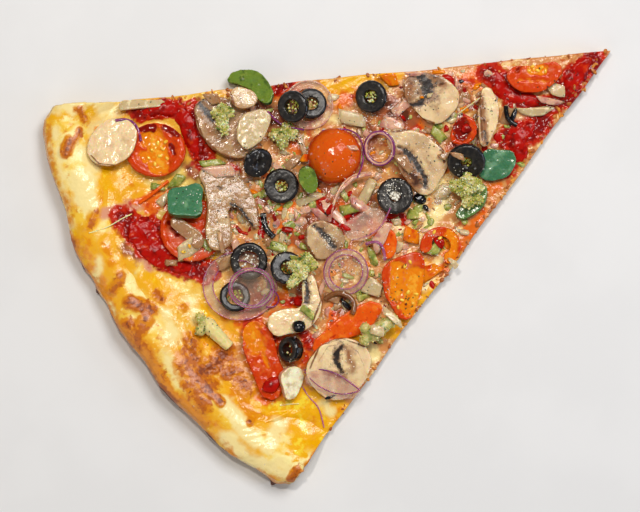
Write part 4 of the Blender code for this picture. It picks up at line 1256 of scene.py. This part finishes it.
scatter("broccoli_buds", bead(), buds, broccoli_buds, "broccoli", jitter=0.12, seed=3)

# Shreds of green: broccoli leaf and pepper, wet with oil
green_shreds = finish(
    "green_shreds",
    "#ACAE54",
    coats=[
        coat("#7C8E34", "", 3.0, 0.46, 0.66),
        coat("#DAD08A", "", 2.4, 0.54, 0.7),
        coat("#44591E", "", 1.2, 0.64, 0.76),
    ],
    bumps=[(0.8, 0.10)],
    roughness=0.24,
    depth=0.5,
)

# Garlic: waxy cream flesh, a little translucent
garlic_flesh = finish(
    "garlic_flesh",
    "#CDB88C",
    coats=[
        coat("#D2B990", "", 3, 0.48, 0.66),
        coat("#F0E4BE", "", 2.4, 0.54, 0.7),
        coat("#FBF1CE", "pale", 3, 0.25, 0.7, ragged=0.8, detail=3),
        coat("#C79B7C", "side", 2.5, 0.3, 0.85),
        coat("#B58A66", "", 1.6, 0.7, 0.8),
    ],
    bumps=[(1.8, 0.14)],
    roughness=0.2,
    depth=1.5,
)
GARLIC_PALE = {"garlic_clove": 0, "garlic_slice": 0.52}
for name in GARLIC_PALE:
    clove = fine_copy(name, cell=0.4, smoothing=4)
    store(clove, "side", side_of(clove, name))
    store(clove, "pale", GARLIC_PALE[name])
    roughen(clove, 3.0, 0.45)
    dress(clove, garlic_flesh, "garlic_flesh", name)
print("buds:", len(buds))

# %% [markdown]
# Small pieces fill the spaces between the toppings: crumbled garlic, broccoli and pepper, shreds of
# onion, bits of mushroom, tomato and olive. Each kind starts from one cube, cut finer and pulled halfway
# to a ball. Its copies are stretched to their size and turned, and set on whatever lies highest at their
# place. Noise then makes each copy differ, since each one lies in another part of it.
# %% Small pieces
CHUNK_CUTS = 4
CHUNK_ROUNDNESS = 0.3
CHUNK_PULL = 0.34
BIT_CUTS = 3
BIT_ROUNDNESS = 0.7
DROP_FROM = 60 * MM
SUNK = 0.22


def chunk(cuts, roundness):
    """A cube partly pulled to a ball, one metre across, as points and faces."""
    bpy.ops.object.select_all(action="DESELECT")
    bpy.ops.mesh.primitive_cube_add(size=1)
    bpy.ops.object.mode_set(mode="EDIT")
    bpy.ops.mesh.subdivide(number_cuts=cuts)
    bpy.ops.transform.tosphere(value=roundness)
    bpy.ops.object.mode_set(mode="OBJECT")
    points, faces = taken(bpy.context.object)
    return points / np.abs(points).max() / 2, faces


def top_at(x, y):
    """The highest point at a place on the grid, the surface's direction there and its piece's name."""
    bpy.context.view_layer.update()
    above = on_slice(x, y).to_3d() + Vector((0, 0, DROP_FROM))
    hit, place, up, _, piece, _ = bpy.context.scene.ray_cast(
        bpy.context.evaluated_depsgraph_get(), above, Vector((0, 0, -1)), distance=DROP_FROM
    )
    return (place, up, piece.name) if hit else (None, None, "")


def lying(x, y, width, length, turn, thickness, sunk=SUNK):
    """The matrix of a piece that lies at a place on the grid; sizes are in squares of the grid."""
    place, up, _ = top_at(x, y)
    if place is None:
        return None
    tilt = Vector((0, 0, 1)).rotation_difference((up + Vector((0, 0, 1))).normalized())
    spin = Matrix.Rotation(GRID_TURN - math.radians(turn), 4, "Z")
    height = thickness * SQUARE
    size = Matrix.Diagonal((length * SQUARE, width * SQUARE, height, 1))
    rise = Vector((0, 0, height * (0.5 - sunk)))
    return Matrix.Translation(place + rise) @ tilt.to_matrix().to_4x4() @ spin @ size


CHUNK = chunk(CHUNK_CUTS, CHUNK_ROUNDNESS)
BIT = chunk(BIT_CUTS, BIT_ROUNDNESS)
# (x, y, width, length, turn in degrees, thickness), all but the turn in squares of the grid
MORSELS = {
    "cream_pieces": [
        (557, 90, 11, 22, 10, 7), (146, 104, 9, 38, -8, 5), (353, 119, 12, 24, 12, 8),
        (309, 200, 8, 26, -22, 6), (364, 194, 11, 26, -62, 8), (371, 286, 13, 20, 20, 8),
        (398, 246, 6, 15, -75, 6), (186, 249, 12, 20, -35, 7), (162, 200, 9, 15, -50, 6),
        (536, 111, 7, 32, -4, 4), (443, 192, 12, 17, -60, 8), (286, 152, 6, 14, 30, 5),
        (352, 300, 5, 16, 60, 5), (392, 318, 8, 22, 40, 6), (378, 330, 9, 14, 10, 6),
        (430, 96, 4, 5, 0, 4), (282, 238, 6, 14, -70, 6), (452, 262, 5, 10, 50, 4),
    ],
    "pale_green_pieces": [
        (177, 180, 9, 18, -58, 7), (158, 187, 7, 12, 0, 6), (213, 163, 6, 22, -8, 5),
        (351, 210, 11, 22, -14, 8), (277, 245, 9, 16, 15, 7), (412, 214, 8, 12, 0, 7),
        (440, 135, 8, 20, 50, 7), (373, 256, 6, 16, 75, 6), (362, 297, 6, 14, -20, 6),
        (436, 247, 8, 18, -55, 8), (206, 244, 7, 12, 30, 6), (296, 258, 6, 10, 0, 6),
        (308, 312, 8, 12, 40, 6), (344, 196, 7, 12, 60, 6),
    ],
    "mushroom_pieces": [
        (214, 99, 10, 16, -10, 7), (294, 161, 9, 17, -50, 6), (304, 150, 5, 34, 70, 4),
        (510, 114, 12, 24, -70, 5), (222, 240, 5, 20, 80, 5), (404, 162, 8, 22, 50, 5),
        (334, 298, 7, 20, 20, 6), (226, 262, 8, 18, -30, 5), (170, 262, 6, 12, 0, 5),
        (446, 156, 6, 14, -20, 6), (456, 156, 5, 12, 10, 6),
    ],
    "onion_pieces": [
        (222, 171, 11, 32, -10, 4), (336, 215, 9, 30, 38, 5), (362, 207, 8, 24, 30, 5),
        (404, 107, 10, 24, -40, 4), (392, 122, 12, 20, 20, 5), (380, 238, 9, 30, -62, 6),
        (236, 246, 6, 14, 80, 5), (320, 214, 6, 18, 45, 4), (280, 168, 6, 22, 35, 4),
        (550, 101, 5, 26, 10, 4), (352, 148, 4, 10, 0, 4), (418, 74, 4, 22, -4, 4),
        (322, 288, 5, 18, -70, 4),
    ],
    "tomato_pieces": [
        (449, 81, 13, 15, 0, 9), (300, 302, 8, 13, 0, 6), (331, 207, 8, 14, -40, 6),
        (288, 229, 7, 10, 0, 6), (272, 384, 12, 20, -70, 6), (466, 130, 9, 12, -50, 6),
        (394, 216, 6, 12, 0, 6), (346, 228, 5, 10, 30, 5), (282, 80, 6, 12, 20, 5),
        (440, 242, 8, 14, 50, 5),
    ],
    "orange_pieces": [
        (391, 79, 11, 17, -10, 8), (431, 271, 14, 19, -40, 8), (412, 236, 13, 16, 20, 7),
        (421, 98, 3, 4, 0, 3), (438, 71, 4, 11, 0, 3), (306, 158, 6, 12, 0, 5),
    ],
    "olive_pieces": [
        (299, 326, 13, 14, 0, 12), (420, 199, 10, 14, 10, 8), (426, 208, 5, 8, 60, 6),
        (513, 117, 5, 18, -68, 5), (346, 305, 5, 16, 50, 6), (330, 397, 3, 12, -20, 3),
    ],
}
# What each kind is made of, its slot, and how many smaller bits of it lie between the toppings
MORSEL_KINDS = {
    "cream_pieces": (garlic_flesh, "garlic_flesh", 60),
    "pale_green_pieces": (green_shreds, "broccoli", 80),
    "mushroom_pieces": (mushroom_flesh, "mushroom_flesh", 40),
    "onion_pieces": (red_onion, "red_onion", 60),
    "tomato_pieces": (crushed_tomato, "crushed_tomato", 34),
    "orange_pieces": (ripe_tomato, "ripe_tomato", 22),
    "olive_pieces": (black_olive, "black_olive", 4),
}
MORSEL_RELIEF = ((3.0, 1.0), (1.2, 0.5))


def solid_piece(name, shape, places, material, slot, pull=CHUNK_PULL):
    """Like scatter, then made uneven, for pieces large enough to show a shape."""
    piece = scatter(name, shape, [place for place in places if place], material, slot, pull=pull)
    for grain, depth in MORSEL_RELIEF:
        roughen(piece, grain, depth)
    return piece


# Where the smaller bits lie, as (x, y, spread) in squares of the grid
BIT_FIELDS = [
    (300, 150, 50), (340, 230, 46), (430, 150, 42), (420, 240, 32), (240, 200, 26), (470, 118, 20),
    (350, 300, 26), (280, 240, 24),
]  # fmt: skip
BIT_LENGTH = (3.0, 11.0)
BIT_SUNK = 0.4
BIT_MARGIN = 5
BIT_LEFTMOST = 175
BED = ("cheese_dressed", "crust_dressed", "sauce")
chance = random.Random(17)


def bits(number):
    """Matrices of small bits on the cheese and the sauce, none on top of a topping."""
    found = []
    while len(found) < number:
        x, y, spread = chance.choice(BIT_FIELDS)
        x, y = chance.gauss(x, spread), chance.gauss(y, spread)
        around = [(x, y), (x - BIT_MARGIN, y), (x + BIT_MARGIN, y), (x, y - BIT_MARGIN), (x, y + BIT_MARGIN)]
        inside = x > BIT_LEFTMOST and all(top_at(*place)[2] for place in around)
        if not inside or not top_at(x, y)[2].startswith(BED):
            continue
        length = chance.uniform(*BIT_LENGTH)
        width, thickness = length * chance.uniform(0.35, 0.8), length * chance.uniform(0.25, 0.5)
        found.append(lying(x, y, width, length, chance.uniform(0, 180), thickness, BIT_SUNK))
    return found


MORSEL_PAINT = {
    "mushroom_pieces": {"tone": 0.8, "stain": 0.4},
    "olive_pieces": {"skin": 1.0},
    "orange_pieces": {"gel": 0.55},
}
for kind, morsels in MORSELS.items():
    material, slot, number = MORSEL_KINDS[kind]
    shape, pull = {"olive_pieces": (bead(3), 0.1), "tomato_pieces": (BIT, 0.3)}.get(kind, (CHUNK, CHUNK_PULL))
    large = solid_piece(kind, shape, [lying(*morsel) for morsel in morsels], material, slot, pull)
    crumbled = solid_piece(kind.replace("pieces", "bits"), BIT, bits(number), material, slot)
    for piece in (large, crumbled):
        for attribute, value in MORSEL_PAINT.get(kind, {}).items():
            store(piece, attribute, value)

# The wheel of the cutter tears the dough, so both cut edges end in small crumbs
# (first place, last place, number), on the grid
CUT_EDGES = [
    ((608, 49), (436, 288), 110), ((436, 288), (300, 478), 90), ((604, 47), (420, 63), 80),
    ((390, 68), (110, 108), 60),
]  # fmt: skip
EDGE_INWARD = 3.0
EDGE_CRUMB = (2.0, 5.5)
EDGE_SHARE = 0.95
EDGE_VARIES = 0.6
EDGE_LEAST = 0.78
middle_of_slice = np.array((300, 220))
torn = []
for first, last, number in CUT_EDGES:
    first, last = np.array(first), np.array(last)
    normal = np.array((last[1] - first[1], first[0] - last[0])) / np.hypot(*(last - first))
    normal *= np.sign(normal @ (middle_of_slice - first))
    for _ in range(number):
        x, y = first + (last - first) * chance.random() + normal * chance.gauss(0, 1) * EDGE_INWARD
        if not top_at(x, y)[2].startswith(BED):
            continue
        length = chance.uniform(*EDGE_CRUMB)
        torn.append(lying(x, y, 0.6 * length, length, chance.uniform(0, 180), 0.5 * length, BIT_SUNK))
edge_crumbs = solid_piece("edge_crumbs", BIT, torn, baked_dough, "baked_dough")
broad = noise_at(points_of(edge_crumbs), 4)
store(edge_crumbs, "edge", (EDGE_SHARE + EDGE_VARIES * broad).clip(EDGE_LEAST))
print("small pieces:", {kind: len(morsels) for kind, morsels in MORSELS.items()}, "edge:", len(torn))

# %% [markdown]
# Thin strands are drawn as curves with a round bevel, one point after the other on whatever lies highest
# there, and then turned to mesh. They are the edges of onion layers, a curled stem, a crescent of olive, and
# three pale strands that stand for painted highlights on the folds of the cheese.
# %% Strands
# (radius, places), in squares of the grid
STRANDS = {
    "onion_edge_cap": (1.5, [(116, 121), (124, 119), (133, 122), (139, 130), (141, 141)]),
    "onion_edge_tomato": (
        0.9,
        [(322, 131), (336, 129), (352, 130), (361, 138), (364, 152), (362, 168), (357, 178)],
    ),
    "onion_loop": (0.8, [(272, 289), (278, 294), (279, 302), (273, 308), (266, 307)]),
    "onion_edge_low": (0.7, [(302, 386), (308, 397), (318, 406), (322, 418), (324, 428)]),
    "onion_shred": (1.5, [(366, 244), (376, 240), (384, 248), (385, 260)]),
    "onion_arc": (1.0, [(370, 173), (357, 173), (346, 180), (338, 191), (333, 205), (331, 218)]),
    "onion_petal_top": (0.7, [(304, 370), (318, 368), (335, 372), (349, 381), (360, 390)]),
    "onion_petal_low": (0.6, [(305, 372), (313, 382), (328, 391), (345, 395), (358, 391)]),
    "onion_leaf_edge": (0.7, [(352, 240), (364, 238), (378, 230), (386, 218), (390, 208)]),
    "onion_edge_peel": (1.0, [(268, 112), (276, 122), (290, 128), (304, 130)]),
    "mushroom_curl": (2.8, [(325, 300), (332, 293), (344, 293), (353, 299), (355, 308), (352, 314)]),
    "red_pepper_sliver": (1.8, [(139, 203), (148, 197), (158, 189), (168, 181)]),
    "olive_crescent": (3.0, [(263, 213), (264, 223), (267, 231), (274, 237)]),
    "olive_curl": (2.4, [(506, 106), (506, 114), (510, 122), (517, 125)]),
    "cheese_thread_1": (0.6, [(90, 233), (98, 231), (111, 226), (123, 218), (132, 214)]),
    "cheese_thread_2": (0.6, [(280, 406), (289, 404), (299, 404)]),
    "cheese_thread_3": (0.6, [(458, 114), (470, 105), (480, 98)]),
}
# Pale, shining strands laid on the cheese: painted highlights along folds of the cheese and edges of its
# juice
cheese_thread = finish(
    "cheese_thread", "#FAE7AE", coats=[coat("#F3CF70", "", 3, 0.5, 0.7)], roughness=0.08, depth=0.8
)
STRAND_FINISHES = {
    "onion": (red_onion, "red_onion"),
    "mushroom": (mushroom_flesh, "mushroom_flesh"),
    "red": (red_pepper, "red_pepper"),
    "olive": (black_olive, "black_olive"),
    "cheese": (cheese_thread, "melted_cheese"),
}
STRAND_PURPLE = {"onion_edge_low": 0.45, "onion_shred": 0.6, "onion_arc": 0.1, "onion_leaf_edge": 0.5}
PLAIN_PURPLE = 0.8
STRAND_RISE = 0.6


def draped(places, thick):
    """Points on whatever lies highest at each place, eased where the height jumps."""
    tops = [top_at(*place)[0] or on_slice(*place).to_3d() for place in places]
    level = [top.z for top in tops]
    highest = [max(level[max(i - 1, 0) : i + 2]) for i in range(len(level))]
    return [(top.x, top.y, (top.z + high) / 2 + STRAND_RISE * thick) for top, high in zip(tops, highest)]


for name, (radius, places) in STRANDS.items():
    material, slot = STRAND_FINISHES[name.split("_")[0]]
    thick = radius * SQUARE
    rod(name, material, slot, thick, draped(places, thick), STRAND_PURPLE.get(name, PLAIN_PURPLE))
print("strands:", len(STRANDS))

# %% [markdown]
# A film of onion is stretched across three of the rings. It starts as a filled circle the size of the
# ring, laid in the ring's own plane. It is so thin that what lies under it shows through, so its finish is
# mostly clear.
# %% Films of onion
FILMS = ("onion_ring_inner", "onion_ring_right", "onion_ring_wide")
FILM_SHARE = 0.93
FILM_CLEAR = 0.05
# Wet onion film: nearly clear and glossy
onion_film = finish(
    "onion_film",
    "#F2DABE",
    coats=[coat("#E2AFA6", "", 4, 0.45, 0.65, detail=2)],
    bumps=[(2.0, 0.10)],
    roughness=0.10,
    Alpha=FILM_CLEAR,
)
FILM_THICK = 0.2 * MM
for name in FILMS:
    middle, directions = axes_of(name)
    local = (np.array([v.co for v in solids[name].data.vertices]) - middle) @ directions.T
    span = np.ptp(local, axis=0)
    bpy.ops.object.select_all(action="DESELECT")
    bpy.ops.mesh.primitive_circle_add(vertices=40, radius=0.5, fill_type="TRIFAN")
    film = bpy.context.object
    film.name = name.replace("ring", "film")
    frame_of_ring = Matrix([list(column) for column in zip(*directions)]).to_4x4()
    size = Matrix.Diagonal((span[0] * FILM_SHARE, span[1] * FILM_SHARE, 1, 1))
    film.data.transform(Matrix.Translation(Vector(middle)) @ frame_of_ring @ size)
    bpy.ops.object.mode_set(mode="EDIT")
    bpy.ops.mesh.subdivide(number_cuts=3)
    bpy.ops.object.mode_set(mode="OBJECT")
    roughen(film, 5.0, 0.8)
    apply(film, "SOLIDIFY", thickness=FILM_THICK, offset=0)
    dress(film, onion_film, "red_onion")
print("films:", len(FILMS))

# %% [markdown]
# The holes of the olive rings hold what fell into them: buds and crumbs, beads placed in the frame of the
# ring. The tomato chambers hold seeds, beads laid on whatever lies highest at their places.
# %% What the olives and the tomatoes hold
FILLINGS = {
    "olive_ring_1": ("green", 16),
    "olive_ring_2": ("green", 26),
    "olive_ring_3": ("green", 26),
    "olive_ring_4": ("green", 24),
    "olive_ring_5": ("cheese", 40),
    "olive_ring_6": ("green", 22),
    "olive_ring_7": ("cheese", 14),
    "olive_ring_8": ("green", 14),
    "olive_ring_9": ("green", 18),
    "olive_ring_10": ("green", 8),
}
FILLING_SIZE = (0.6, 1.2)
SEEDS = [
    (532, 67), (537, 71), (541, 68), (529, 71), (545, 71), (158, 143), (163, 149), (166, 142), (152, 150),
    (149, 158), (160, 156), (167, 158), (155, 164), (405, 266), (410, 262), (408, 292), (402, 300),
    (413, 303), (398, 307), (416, 294), (440, 238), (434, 232), (184, 252), (190, 246),
]  # fmt: skip
# Width, length and thickness of a seed, in squares of the grid
SEED_WIDTH, SEED_LENGTH, SEED_THICK = 3.2, 5.0, 2.2
# Parmesan and dry crumbs: chalky white; on the slice they also stand in part for painted glints of the wet
# food
white_crumb = finish("white_crumb", "#FBF7EA", coats=[coat("#EADFC0", "", 2, 0.5, 0.7)], roughness=0.5)
# Tomato seed: pale yellow in a wet coat
tomato_seed = finish("tomato_seed", "#F8D24A", coats=[coat("#F0A823", "", 2, 0.45, 0.6)], roughness=0.12)
chance = random.Random(11)
fillings = {"green": [], "cheese": []}
for name, (kind, number) in FILLINGS.items():
    middle, directions, hole, height = olive_seats[name]
    for _ in range(number):
        turn, out = chance.uniform(0, 2 * math.pi), math.sqrt(chance.random()) * hole * 0.95
        level = chance.uniform(-0.5, 0.35) * height
        local = np.array((out * math.cos(turn), out * math.sin(turn), level))
        size = chance.uniform(*FILLING_SIZE) * MM
        place = Matrix.Translation(Vector(middle + local @ directions))
        fillings[kind].append(place @ Matrix.Diagonal((size, size, size, 1)))
green, white = fillings.values()
scatter("olive_filling_green", bead(2), green, broccoli_buds, "broccoli", jitter=0.2, seed=7)
scatter("olive_filling_cheese", bead(2), white, white_crumb, "melted_cheese", jitter=0.25, seed=8)
seeds = [lying(x, y, SEED_WIDTH, SEED_LENGTH, chance.uniform(0, 180), SEED_THICK) for x, y in SEEDS]
scatter("tomato_seeds", bead(2), [seed for seed in seeds if seed], tomato_seed, "ripe_tomato", seed=9)
print("fillings:", {kind: len(places) for kind, places in fillings.items()}, "seeds:", len(seeds))

# %% [markdown]
# Grated hard cheese and dried herbs are strewn on last. The crumbs lie in clusters, thickest where they were
# dropped, and some of the white crumbs are painted glints, set where the wet food shines. The herbs fall
# anywhere on the toppings. Both are tiny, so each one is a bead of twenty faces, or a flat fleck.
# %% Crumbs and herbs
# (x, y, spread, number), in squares of the grid
# Some crumbs are set where the wet food glints, as painted glints
CRUMB_AND_GLINT_CLUSTERS = [
    (391, 190, 6, 70), (331, 240, 8, 60), (252, 262, 6, 22), (440, 204, 10, 50), (300, 140, 12, 26),
    (212, 252, 16, 70), (372, 120, 7, 34), (350, 130, 12, 20), (236, 210, 18, 50), (262, 222, 8, 34),
    (302, 286, 8, 24), (352, 268, 10, 18), (200, 192, 12, 24), (444, 184, 12, 44), (402, 124, 14, 34),
    (430, 262, 12, 22), (384, 250, 8, 20), (456, 176, 10, 20), (342, 170, 14, 18), (226, 172, 14, 20),
    (300, 204, 14, 20), (410, 90, 10, 14), (420, 150, 16, 16), (320, 320, 22, 16), (290, 362, 3, 3),
    (354, 362, 14, 14), (246, 256, 14, 24), (384, 290, 12, 10), (230, 180, 26, 60), (400, 180, 30, 70),
    (350, 240, 34, 80), (280, 240, 26, 50), (430, 230, 20, 40), (470, 110, 20, 24), (400, 90, 24, 24),
]  # fmt: skip
CRUMB_SIZE = (0.25, 0.65)
HERB_CLUSTERS = [
    (300, 150, 70, 90), (230, 200, 50, 60), (430, 150, 50, 70), (350, 270, 60, 80), (540, 100, 30, 40),
    (400, 300, 20, 40), (480, 110, 20, 30), (210, 335, 12, 14), (560, 116, 14, 16), (150, 104, 12, 6),
]  # fmt: skip
HERB_SIZE = (0.35, 0.85)
# Dried oregano and cracked pepper
dark_herb = finish("dried_herb", "#2F3A1C", coats=[coat("#14120E", "", 5, 0.5, 0.6)], roughness=0.6)


SPREAD_SHARE = 1.6
STREWN_TILT = 0.6
STREWN_SUNK = 0.3


def strewn(clusters, sizes, flatness, chance):
    """Matrices of tiny things that fell at random round the middle of each cluster."""
    places = []
    for x, y, spread, number in clusters:
        for _ in range(number):
            at, up, _ = top_at(chance.gauss(x, spread / SPREAD_SHARE), chance.gauss(y, spread / SPREAD_SHARE))
            if at is None:
                continue
            size = chance.uniform(*sizes) * MM
            tilt_x, tilt_y = (chance.uniform(-STREWN_TILT, STREWN_TILT) for _ in "xy")
            turn = Euler((tilt_x, tilt_y, chance.uniform(0, 6))).to_matrix().to_4x4()
            scale = Matrix.Diagonal((size, size * chance.uniform(0.5, 1.0), size * flatness, 1))
            places.append(Matrix.Translation(at + up * size * flatness * STREWN_SUNK) @ turn @ scale)
    return places


# Drops of oil and juice, clear and round, that catch the light
DROP_CLUSTERS = [
    (300, 200, 90, 190), (420, 150, 70, 130), (240, 160, 50, 70), (360, 290, 60, 100), (280, 380, 50, 50),
]  # fmt: skip
DROP_SIZE = (0.5, 1.3)
clear_oil = finish("clear_oil", "#FFFFFF", coats=[], roughness=0.03, Alpha=0.1)
drops = strewn(DROP_CLUSTERS, DROP_SIZE, 0.5, random.Random(23))
scatter("oil_drops", bead(2), drops, clear_oil, "melted_cheese", jitter=0.05, seed=15)
crumbs = strewn(CRUMB_AND_GLINT_CLUSTERS, CRUMB_SIZE, 0.8, random.Random(21))
herbs = strewn(HERB_CLUSTERS, HERB_SIZE, 0.3, random.Random(22))
scatter("cheese_crumbs_and_glints", bead(), crumbs, white_crumb, "melted_cheese", jitter=0.3, seed=13)
scatter("herb_flecks", bead(), herbs, dark_herb, "broccoli", jitter=0.4, seed=14)
print("crumbs:", len(crumbs), "herbs:", len(herbs))

# %% [markdown]
# The slice lies on a plain pale floor. A large soft light stands for the daylight of a kitchen window, a
# small one gives the wet food its glints, and the world fills the shadows. The camera looks straight
# down through a long lens, turned so that the slice lies in the frame as it does in the photograph.
# %% Floor, light and camera
FLOOR_SIZE = 4.0
bpy.ops.mesh.primitive_plane_add(size=FLOOR_SIZE)
floor = bpy.context.object
floor.name = "floor"
pale_floor = finish("pale_floor", "#E1E2E3", coats=[coat("#E4E5E6", "", 60, 0.4, 0.6)], roughness=0.8)
floor.data.materials.append(pale_floor)

world = bpy.data.worlds.new("soft_room")
bpy.context.scene.world = world
world.use_nodes = True
ROOM_COLOUR, ROOM_STRENGTH = "#EFEDEA", 0.23
background = world.node_tree.nodes["Background"]
background.inputs["Color"].default_value = linear(ROOM_COLOUR)
background.inputs["Strength"].default_value = ROOM_STRENGTH

slice_middle = on_slice(*CAMERA_CENTRE).to_3d()


def light(name, azimuth, height, distance, size, power, colour):
    """An area light that looks at the middle of the slice."""
    data = bpy.data.lights.new(name, "AREA")
    data.size = size
    data.energy = power
    data.color = linear(colour)[:3]
    lamp = bpy.data.objects.new(name, data)
    bpy.context.scene.collection.objects.link(lamp)
    turn, tilt = math.radians(azimuth), math.radians(height)
    away = Vector((math.cos(turn) * math.cos(tilt), math.sin(turn) * math.cos(tilt), math.sin(tilt)))
    lamp.location = slice_middle + away * distance
    lamp.rotation_euler = away.to_track_quat("Z", "Y").to_euler()


UP_IN_VIEW = 90 + math.degrees(GRID_TURN)
# Degrees left of the top of the picture, degrees above the floor, distance, size, power, colour
LIGHTS = {
    "window": (-35, 58, 1.2, 0.45, 8.3, "#FDFBFA"),
    "low_window": (-100, 20, 1.1, 0.35, 1.9, "#C9DBFF"),
    "fill": (135, 32, 1.2, 0.9, 2.4, "#FFF8EC"),
    "lamp": (20, 72, 1.0, 0.06, 3.1, "#FFF6EA"),
}
for name, (azimuth, *rest) in LIGHTS.items():
    light(name, UP_IN_VIEW + azimuth, *rest)

CAMERA_HEIGHT = 1.1
VIEW_WIDTH = 640 * SQUARE
SURFACE = 8 * MM
SENSOR = 36.0
camera_data = bpy.data.cameras.new("camera")
camera_data.sensor_width = SENSOR
camera_data.lens = SENSOR * (CAMERA_HEIGHT - SURFACE) / VIEW_WIDTH
camera = bpy.data.objects.new("camera", camera_data)
bpy.context.scene.collection.objects.link(camera)
camera.matrix_world = (
    Matrix.Translation(slice_middle + Vector((0, 0, CAMERA_HEIGHT))) @ Matrix.Rotation(GRID_TURN, 4, "Z")
)
bpy.context.scene.camera = camera
bpy.context.scene.view_settings.view_transform = "Standard"
print("lens:", round(camera_data.lens), "mm")
